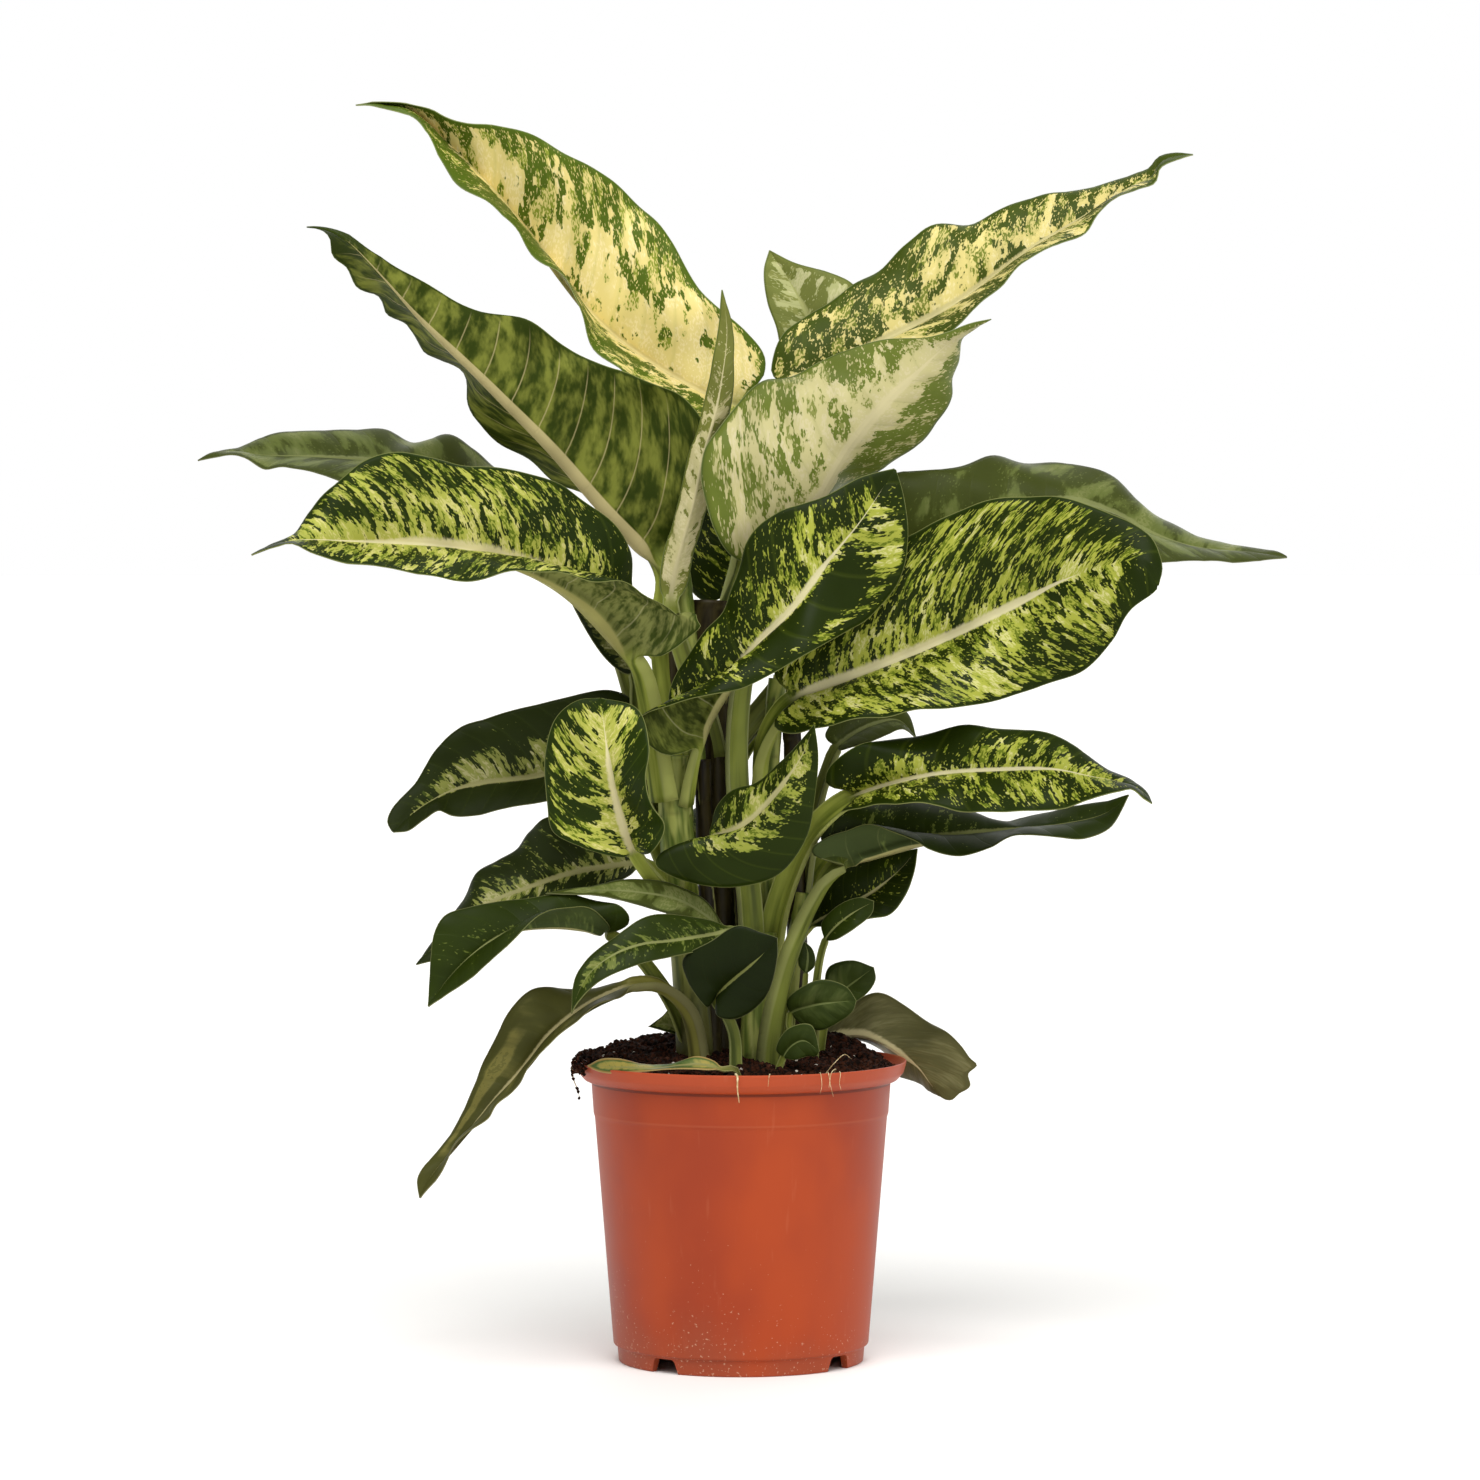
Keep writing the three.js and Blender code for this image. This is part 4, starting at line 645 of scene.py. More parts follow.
# %% Rows along a leaf, and the skin of its stalk
# Leaves with a half wider than this get the large grid. A grid is columns of one half, and rows
LARGE_HALF = 25
LARGE_GRID, SMALL_GRID = (20, 96), (13, 48)
STALK_ROW, FEWEST_STALK_ROWS = 5, 6
TIP_SHARE = 0.996
BESIDE = 0.002
WIDE_FROM, TURNED_BY = 0.07, 0.12
# Shares of the stalk's radius
STALK_FLARE, STALK_WIDER = 1.35, 1.2
CHANNEL_WIDTH, CHANNEL_LIP, CHANNEL_DEPTH, CHANNEL_ROUND = 0.95, 0.35, 0.4, 1.5
BELLY_START, BELLY_DEPTH = 0.15, 0.75


def leaf_rows(leaf, blade_rows):
    """Rows from the foot of the stalk to the tip of the blade, with the leaf's directions at each."""
    stalk_points = sight(leaf["stalk"])
    line = smooth_curve(np.vstack([stalk_points, sight(leaf["rib"])[1:]]))
    stalk_length = line.marks[len(stalk_points) - 1]
    joint = stalk_length / line.length
    stalk_rows = max(FEWEST_STALK_ROWS, int(stalk_length / STALK_ROW))

    # t is 0 up to the joint of stalk and blade and 1 at the tip, while walk runs along all of it
    t = np.concatenate([np.zeros(stalk_rows), np.linspace(0, TIP_SHARE, blade_rows + 1)])
    walk = np.concatenate([np.linspace(0, joint, stalk_rows, endpoint=False),
                           joint + (1 - joint) * t[stalk_rows:]])
    centre = line(walk)
    along = heading(line, walk, BESIDE)
    margins = [margin_curve(leaf, side)(t) for side in (0, 1)]

    # The margins show which way is across, but only where they are apart
    spread = margins[1] - margins[0]
    first_wide = stalk_rows + int(WIDE_FROM * blade_rows)
    across = np.where(t[:, None] < t[first_wide], spread[first_wide], spread)
    blend = ease(0, TURNED_BY, t)[:, None]
    across = unit(unit(spread[first_wide]) * (1 - blend) + unit(across) * blend)
    across = unit(across - along * (across * along).sum(1, keepdims=True))
    return SimpleNamespace(
        t=t[:, None], centre=centre[:, None], across=across[:, None],
        up=np.cross(across, along)[:, None], left=margins[0][:, None], right=margins[1][:, None],
        from_joint=(walk * line.length - stalk_length)[:, None],
        to_joint=(1 - np.clip(walk / joint, 0, 1))[:, None],
        blade_length=line.length - stalk_length,
    )


def stalk_skin(row, radius, turn):
    """The upper and lower face of a stalk: round below, with a shallow channel along its top."""
    inwards = 1 - turn ** 2
    top = (row.centre + row.across * (radius * CHANNEL_WIDTH * turn)[..., None]
           + row.up * (radius * (CHANNEL_LIP - CHANNEL_DEPTH * inwards ** CHANNEL_ROUND))[..., None])
    bottom = (row.centre + row.across * (radius * turn)[..., None]
              - row.up * (radius * (BELLY_START + BELLY_DEPTH * np.sqrt(inwards)))[..., None])
    return top, bottom


sample_rows = leaf_rows(LEAVES["leaf_centre"], LARGE_GRID[1])
print("the middle leaf's blade is", round(float(sample_rows.blade_length)), "mm long")

# %% The skin of a whole leaf
# Depths, lengths and spacings are in millimetres, or shares of the stalk's radius or of a half's width
KEEL_COLUMNS = 4
KEEL_WIDTH, KEEL_TAPER, KEEL_LEAST, KEEL_MOST = 0.85, 0.8, 0.9, 0.5
KEEL_DEPTH, KEEL_FADE, GROOVE = 1.1, 1.3, 0.12
HALF_THICKNESS, MARGIN_THINNING = 0.35, 0.45
ARCH = 0.07
VEIN_SLANT, VEIN_CURL = 0.62, 0.006
VEINS, CLOSEST_VEINS, WIDEST_VEINS = 10, 8, 22
QUILT, SWELL_ROUND, SWELL_MIDDLE, QUILT_FADE = 0.045, 0.7, 0.6, 0.6
WAVE, WAVE_LENGTH, WAVE_SHIFT = 0.036, 9.0, 1.4
RIPPLE, RIPPLE_LENGTH = 0.02, 4.7
BLADE_STARTS = 0.075
RIB_SPREAD, RIB_TAPER, RIB_LEAST, RIB_TIP, RIB_STOP = 0.075, 1.6, 0.3, 5, 2


def leaf_skin(leaf):
    """Places and finish values over a leaf: rows run along it, columns from its left to its right."""
    large = leaf["half"] > LARGE_HALF
    side_columns, blade_rows = LARGE_GRID if large else SMALL_GRID
    row = leaf_rows(leaf, blade_rows)
    t, rest = row.t, 1 - row.t
    column = np.arange(-side_columns, side_columns + 1)
    steps, sign = np.abs(column), np.sign(column)

    # A flat sheet from margin to margin. share is 0 at the midrib and 1 at a margin
    sides = np.where(sign[:, None] < 0, row.left - row.centre, row.right - row.centre)
    half_width = np.maximum(np.linalg.norm(sides, axis=2), HALF_THICKNESS)
    keel = np.minimum(leaf["stem"] * KEEL_WIDTH * rest ** KEEL_TAPER + KEEL_LEAST, KEEL_MOST * half_width)
    in_keel = keel * np.sin(np.pi / 2 * np.minimum(steps, KEEL_COLUMNS) / KEEL_COLUMNS)
    beyond = np.clip((steps - KEEL_COLUMNS) / (side_columns - KEEL_COLUMNS), 0, 1)
    out = in_keel + (half_width - keel) * beyond
    share = out / half_width
    lift = leaf.get("arch", ARCH) * half_width * 4 * share * (1 - share)
    sheet = row.centre + sides * share[..., None] + row.up * lift[..., None]
    normal = np.cross(np.gradient(sheet, axis=1), np.gradient(sheet, axis=0))
    clear = ease(0.02, 0.1, t)[..., None]
    normal = unit(unit(normal) * clear + row.up * (1 - clear))

    # The side veins, as millimetres along the midrib where the vein through a place starts
    walked = t * row.blade_length
    vein = walked - VEIN_SLANT * out - VEIN_CURL * out ** 2
    spacing = min(WIDEST_VEINS, max(CLOSEST_VEINS, row.blade_length / VEINS))
    phase = vein / spacing + np.where(sign > 0, 0.5, 0)

    # The swelling between the veins, and the waves of the margin
    swell = np.abs(np.sin(np.pi * phase)) ** SWELL_ROUND - SWELL_MIDDLE
    quilt = QUILT * spacing * swell * ease(1, 2.5, out / keel) * (1 - QUILT_FADE * share)
    wave = leaf.get("wave", 1.0) * WAVE * half_width * share ** 3
    wave = wave * np.sin(walked / WAVE_LENGTH + WAVE_SHIFT * sign)
    wave = wave + RIPPLE * half_width * share ** 2 * np.sin(walked / RIPPLE_LENGTH - sign)
    sheet = sheet + normal * (quilt + wave * ease(0.03, 0.2, t))[..., None]

    # The two faces of the blade, with the keel below and a groove above
    thin = HALF_THICKNESS * (1 - MARGIN_THINNING * ease(0.9, 1, share))
    roundness = np.clip(1 - (out / keel) ** 2, 0, 1)
    keel_depth = leaf["stem"] * KEEL_DEPTH * rest ** KEEL_FADE * np.sqrt(roundness)
    blade_top = sheet + normal * (thin - GROOVE * leaf["stem"] * rest * roundness)[..., None]
    blade_bottom = sheet - normal * (thin + keel_depth)[..., None]

    # The stalk goes over into the blade
    turn = np.sin(np.pi / 2 * column / side_columns)
    radius = leaf["stem"] * (1 + (STALK_FLARE - 1) * row.to_joint) * (STALK_WIDER if large else 1)
    stalk_top, stalk_bottom = stalk_skin(row, radius, turn)
    on_blade = ease(0, BLADE_STARTS, t)
    top = stalk_top * (1 - on_blade[..., None]) + blade_top * on_blade[..., None]
    bottom = stalk_bottom * (1 - on_blade[..., None]) + blade_bottom * on_blade[..., None]

    # The pale line of the midrib narrows towards the tip, and stops early on some leaves
    rib_width = leaf.get("rib_share", RIB_SPREAD) * leaf["half"] * (1 - t ** RIB_TAPER) + RIB_LEAST
    rib_end = leaf.get("rib_end", 1.0)
    whole = np.zeros_like(out)
    kept = {
        "vein": vein * on_blade + row.from_joint * (1 - on_blade),
        "out": out * sign * on_blade + radius * np.arcsin(turn) * (1 - on_blade),
        "rib": (out / rib_width * (1 + RIB_TIP * ease(0.6, 0.95, t))
                + RIB_STOP * ease(rib_end - 0.14, rib_end, t)),
        "blade": whole + on_blade,
        "edge": (half_width - out) * on_blade + radius * (1 - np.abs(turn)) * (1 - on_blade),
        "phase": phase,
        "t": whole + t,
        "share": share,
        "side": whole + sign,
    }
    return top, bottom, kept


sample_top, _, sample_values = leaf_skin(LEAVES["leaf_centre"])
print("one large leaf has", 4 * (sample_top.shape[0] - 1) * (sample_top.shape[1] - 1), "triangles")

# %% [markdown]
# ## Leaf finish
#
# The cream and green patches of a dieffenbachia are not painted on at random. They follow the side
# veins: long flecks that run from the midrib towards the tip, with torn, speckled edges, mostly pale
# beside the midrib and green towards the margin. So the noise is read in the leaf's own directions:
# one across the side veins, where it changes within a few millimetres, and one along them, where it
# changes slowly. Each vertex keeps how pale its place tends to be, and the shader adds the flecks.

# %% Palettes of the leaves
PALETTES = {
    "crown": dict(dark="#55691a", mid="#8f9a38", light="#efdc8c", pale="#fae8a8", rib="#dfcf8c",
        under_dark="#76803c", under_light="#a89c58", margin="#4c6420", stalk="#a0aa50",
        stalk_dark="#6d7d30", stalk_edge="#c3c48a", size=2.1, long=0.42, dots=0.575, speck=0.8, shade=0.86,
        keel="#cfc48c"),
    "crown_dark": dict(dark="#465414", mid="#7c8630", light="#e8d888", pale="#f2e4a4", rib="#d6cc92",
        under_dark="#76803c", under_light="#a8a256", margin="#44581a", stalk="#a0aa50",
        stalk_dark="#6d7d30", stalk_edge="#c3c48a", size=1.7, long=0.46, dots=0.57, speck=0.8, shade=0.82,
        keel="#cfc48c"),
    "crown_soft": dict(dark="#66722c", mid="#858a48", light="#c2ba84", pale="#cac094", rib="#ccc294",
        under_dark="#76803c", under_light="#b4b072", margin="#52622a", stalk="#8d9644",
        stalk_dark="#66703a", stalk_edge="#b4b67e", size=1.7, long=0.55, dots=0.57, speck=0.85, shade=0.86,
        keel="#cfc48c"),
    "rolled": dict(dark="#7c803c", mid="#a09e62", light="#cfc690", pale="#ddd3a2", rib="#d2c898",
        under_dark="#80843c", under_light="#cdc48e", margin="#5a6a28", stalk="#8d9644",
        stalk_dark="#6a703c", stalk_edge="#b4b67e", size=1.6, long=0.7, dots=0.6, keel="#cdc392"),
    "bud": dict(dark="#7d8440", mid="#929650", light="#c0c284", pale="#d2d09a", rib="#b4b674",
        under_dark="#7c8444", under_light="#b8ba7c", margin="#5f6c30", stalk="#8d9644",
        stalk_dark="#66703a", stalk_edge="#b4b67e", size=2.0, long=0.6, dots=0.62),
    "gold": dict(dark="#212d02", mid="#66741c", light="#a9ae44", pale="#cfcc82", rib="#dad2a4",
        under_dark="#343d0c", under_light="#6c7430", margin="#2a3a0a", stalk="#9da646",
        stalk_dark="#5c6a20", stalk_edge="#bcbe74", long=0.8, dots=0.6, speck=0.95),
    "backlit": dict(dark="#2c3804", mid="#5c6c1e", light="#8b8e40", pale="#a8a654", rib="#b9ac78",
        under_dark="#323f08", under_light="#7c8234", margin="#3a4a16", stalk="#9da646",
        stalk_dark="#6c7628", stalk_edge="#bcbe74", size=1.7, long=0.5, dots=0.6, veins=0.6, sharp=0.55,
        keel="#b9ac78"),
    "bright": dict(dark="#243204", mid="#6a7a20", light="#b7ba52", pale="#d8d280", rib="#e8dfac",
        under_dark="#3c4814", under_light="#84884a", margin="#2a3c0a", stalk="#9da646",
        stalk_dark="#5e6c22", stalk_edge="#bcbe74", long=0.8, dots=0.61, speck=0.95, keel="#a8a360"),
    "lime": dict(dark="#232e05", mid="#5c691e", light="#92983f", pale="#b2ae6c", rib="#b6b07c",
        under_dark="#343d0c", under_light="#6c7430", margin="#2a3a0a", stalk="#8e963e",
        stalk_dark="#56641e", stalk_edge="#a6a866", long=0.8, dots=0.61, speck=0.95),
    "frost": dict(dark="#27300c", mid="#44501a", light="#8e9248", pale="#b4b078", rib="#a8a46e",
        under_dark="#3c4420", under_light="#606838", margin="#262e0c", stalk="#868e3c",
        stalk_dark="#535e20", stalk_edge="#9c9e62", size=0.75, long=1.3, dots=0.66),
    "green": dict(dark="#2a3609", mid="#3c4a14", light="#6c7634", pale="#888c4c", rib="#8a8e56",
        under_dark="#46522a", under_light="#84924c", margin="#2a360c", stalk="#747c34",
        stalk_dark="#434c1a", stalk_edge="#9c9e62", dots=0.62),
    "plain": dict(dark="#323e14", mid="#3a4619", light="#465224", pale="#565f30", rib="#76804a",
        under_dark="#3c4a1c", under_light="#5a6632", margin="#2c3a0e", stalk="#8a9240",
        stalk_dark="#566222", stalk_edge="#a6a86a", size=2.0, dots=0.9, blur=0.35),
    "deep": dict(dark="#1a2307", mid="#252f0e", light="#565a28", pale="#8c8a5c", rib="#7c8046",
        under_dark="#54583a", under_light="#868868", margin="#1a2208", stalk="#7a823c",
        stalk_dark="#4a5422", stalk_edge="#9a9e66", dots=0.66),
    "olive": dict(dark="#464e1c", mid="#535b28", light="#667036", pale="#7c824a", rib="#848a54",
        under_dark="#4c5228", under_light="#666c3c", margin="#3c441c", stalk="#808640",
        stalk_dark="#565e2a", stalk_edge="#989a68", size=1.5, dots=0.66, fleck=1.5, speck=0.4, blur=0.14),
    "weathered": dict(dark="#4a4a20", mid="#545428", light="#625f30", pale="#77713a", rib="#b0a676",
        under_dark="#50502a", under_light="#6c6a44", margin="#46441e", stalk="#84803c",
        stalk_dark="#4c4a1e", stalk_edge="#a09c6a", size=1.4, long=1.4, dots=0.9, fleck=0.9, speck=0.5,
        blur=0.5, keel="#b0a676"),
    "dull": dict(dark="#5c5934", mid="#646039", light="#706c44", pale="#7c7850", rib="#cdc290",
        under_dark="#50502a", under_light="#6c6a44", margin="#56532e", stalk="#84803c",
        stalk_dark="#4c4a1e", stalk_edge="#a09c6a", size=0.9, long=1.7, dots=0.9, fleck=1.6, speck=1.2,
        blur=0.6, shade=0.86),
    "fading": dict(dark="#4c6230", mid="#5c6c3a", light="#7c8448", pale="#a4964c", rib="#8f8c54",
        under_dark="#5c6034", under_light="#84804a", margin="#b08c50", stalk="#8c8a48",
        stalk_dark="#6a6e34", stalk_edge="#b8b27a", size=2.0, dots=0.8, fleck=1.2, blur=0.3),
}
# Where a palette doesn't say otherwise: the size of its flecks and how long they are, the keel's
# colour, the blur of their edges, their share of the noise and that of specks, the lightest shade,
# how strong the veins show below, and how sharp the mottle is there
COMMON = dict(size=1.0, long=1.0, keel="#a8a268", blur=0.05, fleck=2.7, speck=0.8, shade=0.8, veins=0.22,
              sharp=0.5)
NOISE_SHARES = 4.6
print("palettes:", ", ".join(PALETTES))

# %% The leaf material
# Each noise has its own size along the midrib and away from it, written as 1 / millimetres. SLICE
# keeps the noises apart. The ramp goes from mid to light and from light to pale at two shares
FLECK, SPECK, DOTS = (1 / 4.0, 1 / 13.0, 1), (1 / 1.6, 1 / 4.0, 1), (1 / 1.1, 1 / 1.6, 1)
PATCH, STREAK, CELLS = (1 / 20.0, 1 / 30.0, 1), (1 / 70.0, 1 / 5.5, 1), (1 / 0.7, 1 / 0.7, 1)
LARGER = 1.3
SLICE = 3.7
MID_TO_LIGHT, LIGHT_TO_PALE, SOFTEST_RAMP = 0.485, 0.73, 0.12
WAX_GLOSS, LEAF_IOR = 0.08, 1.45


def leaf_material(name, palette):
    """Living leaf tissue under a thin waxy skin: soft gloss above, duller below."""
    made, tree, shader = new_material(name)
    palette = {**COMMON, **palette}
    hue = {key: colour(value) for key, value in palette.items() if isinstance(value, str)}
    vein, tone, part = (add(tree, "ShaderNodeAttribute", attribute_name=key).outputs["Vector"]
                        for key in ("vein", "tone", "part"))
    lightness, from_rib, underside = add(tree, "ShaderNodeSeparateXYZ", {0: tone}).outputs
    blade, edge, phase = add(tree, "ShaderNodeSeparateXYZ", {0: part}).outputs

    # Noise is read in the leaf's own directions, so that flecks lie along the side veins
    mottle = {}
    wide, long = palette["size"], palette["size"] * palette["long"]
    for number, (key, size, widen, lengthen, detail) in enumerate((
        ("fleck", FLECK, wide, long, 2.5), ("other fleck", FLECK, wide * LARGER, long * LARGER, 2.5),
        ("speck", SPECK, wide, long, 2.0), ("dots", DOTS, 1.0, 1.0, 0.0), ("patch", PATCH, 1.0, 1.0, 1.0),
        ("streak", STREAK, 1.0, 1.0, 2.0), ("cells", CELLS, 1.0, 1.0, 1.0),
    )):
        stretched = (size[0] / widen, size[1] / lengthen, size[2])
        place = add(tree, VECTOR_MATH, {0: vein, 1: stretched, 2: (0, 0, SLICE * number)},
                    operation="MULTIPLY_ADD")
        mottle[key] = add(tree, NOISE, {"Vector": place, "Scale": 1.0, "Detail": detail})
    amounts = {"fleck": palette["fleck"], "speck": palette["speck"]}
    amounts["patch"] = NOISE_SHARES - sum(amounts.values())
    sums = {}
    for key, flecks in (("dark", "fleck"), ("light", "other fleck")):
        sums[key] = lightness
        for noise_key, amount in amounts.items():
            source = mottle[flecks if noise_key == "fleck" else noise_key]
            sums[key] = add(tree, MATH, {0: source, 1: amount, 2: sums[key]}, operation="MULTIPLY_ADD")
    near_rib = add(tree, MATH, {0: mottle["speck"], 1: 0.9, 2: from_rib}, operation="MULTIPLY_ADD")
    dotted = add(tree, MATH, {0: sums["dark"], 1: 0.3, 2: mottle["dots"]}, operation="MULTIPLY_ADD")
    vein_gap = add(tree, MATH, {0: phase, 1: 0.5}, operation="PINGPONG")

    # Each share is a smooth step: what it reads, from where to where, and its value before and after
    blur, sharp, dots, shade = (palette[key] for key in ("blur", "sharp", "dots", "shade"))
    shares = {}
    for key, values in {
        "dark": (sums["dark"], -blur, blur, 1.0, 0.0),
        "dots": (dotted, dots, dots + 0.04, 0.0, 0.8),
        "light": (sums["light"], -1.0, 1.0, 0.0, 1.0),
        "rib above": (near_rib, 1.2, 1.9, 1.0, 0.0),
        "vein above": (vein_gap, 0.01, 0.1, 0.12, 0.0),
        "margin": (edge, 0.5, 1.7, 0.9, 0.0),
        # A pale line along the very edge of the blade: a painted highlight
        "painted edge highlight": (edge, 0.15, 0.6, 0.45, 0.0),
        "soft mottle": (sums["dark"], -sharp, sharp, 0.0, 1.0),
        "inner": (edge, 2.0, 24.0, 0.0, 1.0),
        "vein below": (vein_gap, 0.008, 0.03, palette["veins"], 0.0),
        "rib below": (from_rib, 0.62, 0.85, 1.0, 0.0),
        "stalk streak": (mottle["streak"], 0.32, 0.6, 0.0, 1.0),
        "stalk edge": (edge, 0.2, 1.0, 0.5, 0.0),
        "shade": (mottle["patch"], 0.3, 0.7, shade - 0.14, shade),
        "dullness": (underside, 0.0, 1.0, 0.34, 0.55),
        "between veins": (vein_gap, 0.0, 0.05, 0.0, 1.0),
    }.items():
        shares[key] = add(tree, STEP, dict(enumerate(values)), **SMOOTH)
    shares["vein below"] = add(tree, MATH, {0: shares["vein below"], 1: shares["inner"]},
                               operation="MULTIPLY")

    ramp = add(tree, "ShaderNodeValToRGB", {0: shares["light"]})
    ramp.color_ramp.elements[0].color = hue["mid"]
    ramp.color_ramp.elements[1].color = hue["pale"]
    soft = min(blur, SOFTEST_RAMP)
    for position, key in ((MID_TO_LIGHT - soft / 2, "mid"), (MID_TO_LIGHT + soft / 2, "light"),
                          (LIGHT_TO_PALE - soft, "light"), (LIGHT_TO_PALE + soft, "pale")):
        ramp.color_ramp.elements.new(position).color = hue[key]

    # Layers of colour: upper face, lower face, stalk. Sockets 6 and 7 of a mix are its two colours
    faces = {}
    # Both faces end in a green margin, and then in a painted highlight along the edge
    rims = (("margin", "margin"), ("painted edge highlight", "stalk_edge"))
    for key, base, layers in (
        ("upper", ramp, (("dark", "dark"), ("dots", "light"), ("vein above", "mid"), ("rib above", "rib"),
                         *rims)),
        ("lower", hue["under_dark"], (("soft mottle", "under_light"), ("vein below", "rib"),
                                      ("rib below", "keel"), *rims)),
        ("stalk", hue["stalk_dark"], (("stalk streak", "stalk"), ("stalk edge", "stalk_edge"))),
    ):
        for share, layer in layers:
            base = add(tree, MIX, {0: shares[share], 6: base, 7: hue[layer]}, data_type="RGBA")
        faces[key] = base
    face = add(tree, MIX, {0: underside, 6: faces["upper"], 7: faces["lower"]}, data_type="RGBA")
    whole = add(tree, MIX, {0: blade, 6: faces["stalk"], 7: face}, data_type="RGBA")
    toned = add(tree, VECTOR_MATH, {0: whole, 3: shares["shade"]}, operation="SCALE")
    gloss = add(tree, MATH, {0: mottle["speck"], 1: 0.12, 2: shares["dullness"]}, operation="MULTIPLY_ADD")
    height = add(tree, MATH, {0: mottle["cells"], 1: 0.25, 2: shares["between veins"]},
                 operation="MULTIPLY_ADD")
    bump = add(tree, BUMP, {"Height": height, "Strength": 0.35, "Distance": 0.25 * MM})
    feed(tree, shader, {"Base Color": toned, "Roughness": gloss, "Normal": bump, "IOR": LEAF_IOR,
                        "Specular IOR Level": WAX_GLOSS})
    return made


leaf_finishes = {}
for palette_name, palette in PALETTES.items():
    leaf_finishes[palette_name] = leaf_material("leaf " + palette_name.replace("_", " "), palette)
print("leaf materials:", len(leaf_finishes))

# %% [markdown]
# ## Leaves
#
# Every leaf has its own balance of pale and green. The table gives each leaf its palette, how pale it
# is on the whole, how much paler it gets towards the midrib, and the width of its green margin in
# millimetres. Some leaves also have zones of their own, such as the large green island on the right
# half of the middle leaf. A zone is a side, a stretch of the length, a stretch of the width, and how
# much paler or greener it is.

# %% How pale each leaf is
LEFT, RIGHT, BOTH = -1, 1, 0
FINISH = {
    # The two left-half zones of the crown's left leaf darken its curled half: painted shade
    "leaf_crown_left": ("crown", 0.26, 0.0, 5, (RIGHT, 0.3, 0.95, 0.5, 1.0, -0.3),
        (LEFT, 0.45, 1.0, 0.2, 1.0, -0.6), (RIGHT, 0.0, 0.3, 0.0, 0.5, 0.2),
        (LEFT, 0.0, 0.45, 0.2, 1.0, -0.4)),
    "leaf_upper_left": ("backlit", -0.08, 0.0, 3),
    "leaf_crown_right": ("crown_dark", -0.02, 0.15, 3, (LEFT, 0.0, 1.0, 0.6, 1.0, -0.2)),
    "leaf_crown_small": ("bud", 0.0, 0.2, 5),
    "leaf_rolled": ("rolled", 0.35, 0.0, 3, (BOTH, 0.5, 1.0, 0.0, 1.0, -0.5),
        (BOTH, 0.75, 1.0, 0.0, 1.0, -0.5)),
    "leaf_crown_front": ("crown_soft", 0.16, 0.5, 3, (RIGHT, 0.05, 1.0, 0.35, 1.0, -0.6),
        (LEFT, 0.0, 1.0, 0.8, 1.0, -0.25), (LEFT, 0.6, 1.0, 0.3, 1.0, -0.25)),
    "leaf_centre": ("gold", -0.2, 0.35, 3, (RIGHT, 0.42, 0.72, 0.15, 0.72, -1.0),
        (RIGHT, 0.76, 0.95, 0.1, 0.9, 0.35)),
    "leaf_broad_right": ("gold", -0.06, 0.3, 3, (LEFT, 0.75, 1.0, 0.5, 1.0, -0.4),
        (RIGHT, 0.1, 0.6, 0.3, 0.9, 0.12)),
    "leaf_back_right": ("olive", 0.0, 0.2, 4),
    "leaf_back_left": ("olive", 0.2, 0.2, 4),
    "leaf_broad_left": ("bright", -0.06, 0.5, 3, (RIGHT, 0.0, 0.3, 0.6, 1.0, -0.5)),
    "leaf_dark_left": ("deep", -0.28, 0.9, 4),
    "leaf_low_left": ("frost", -0.4, 0.7, 4, (LEFT, 0.0, 1.0, 0.12, 1.0, -1.2),
        (RIGHT, 0.0, 1.0, 0.5, 1.0, -0.4), (RIGHT, 0.0, 0.75, 0.1, 0.5, 0.25),
        (RIGHT, 0.7, 1.0, 0.0, 0.6, -0.3)),
    "leaf_side_left": ("bright", 0.0, 0.5, 4, (RIGHT, 0.1, 0.75, 0.4, 1.0, -0.45),
        (LEFT, 0.35, 0.6, 0.3, 0.9, -0.3)),
    "leaf_heart": ("lime", -0.2, 0.45, 4, (RIGHT, 0.0, 1.0, 0.62, 1.0, -0.9),
        (RIGHT, 0.0, 0.6, 0.0, 0.55, 0.1)),
    "leaf_middle_right": ("gold", -0.2, 0.4, 4, (LEFT, 0.0, 0.5, 0.55, 1.0, -0.6),
        (LEFT, 0.5, 1.0, 0.75, 1.0, -0.5)),
    "leaf_twisted_right": ("green", -0.9, 0.3, 4, (LEFT, 0.0, 0.5, 0.0, 1.0, 0.4)),
    "leaf_shaded_right": ("olive", -0.4, 0.2, 4),
    "leaf_small_right": ("lime", -0.75, 0.5, 4),
    "leaf_curled_right": ("green", -0.9, 0.4, 3),
    "leaf_round_back": ("plain", 0.0, 0.2, 3),
    "leaf_round_front": ("plain", 0.0, 0.2, 3),
    "leaf_tiny_right": ("plain", 0.0, 0.2, 3),
    "leaf_drooping_right": ("dull", 0.2, 0.1, 4),
    "leaf_drooping_left": ("weathered", -0.4, 0.1, 4, (RIGHT, 0.4, 0.8, 0.35, 0.7, 1.2)),
    "leaf_streaked_left": ("frost", -0.34, 0.7, 3),
    "leaf_arched_left": ("green", -0.8, 0.4, 4),
    "leaf_pale_left": ("olive", 0.1, 0.5, 3),
    "leaf_front_left": ("green", -0.6, 0.7, 4),
    "leaf_dark_front": ("deep", -1.2, 0.3, 4),
    "leaf_yellowing": ("fading", 0.0, 0.3, 3),
    "leaf_base_right": ("plain", -0.3, 0.2, 3),
    "leaf_sprout_left": ("green", 0.1, 0.2, 2),
    "leaf_behind_upper": ("gold", -0.35, 0.3, 4),
    "leaf_behind_left": ("gold", 0.0, 0.4, 4),
    "leaf_behind_right": ("gold", 0.05, 0.4, 4),
    "leaf_behind_low_left": ("frost", 0.0, 0.7, 4),
    "leaf_behind_low_right": ("gold", -0.1, 0.6, 4),
    "leaf_behind_low": ("green", -0.1, 0.6, 4),
}
MARGIN_GREEN, MARGIN_STEP = 0.9, (0.2, 1.0)
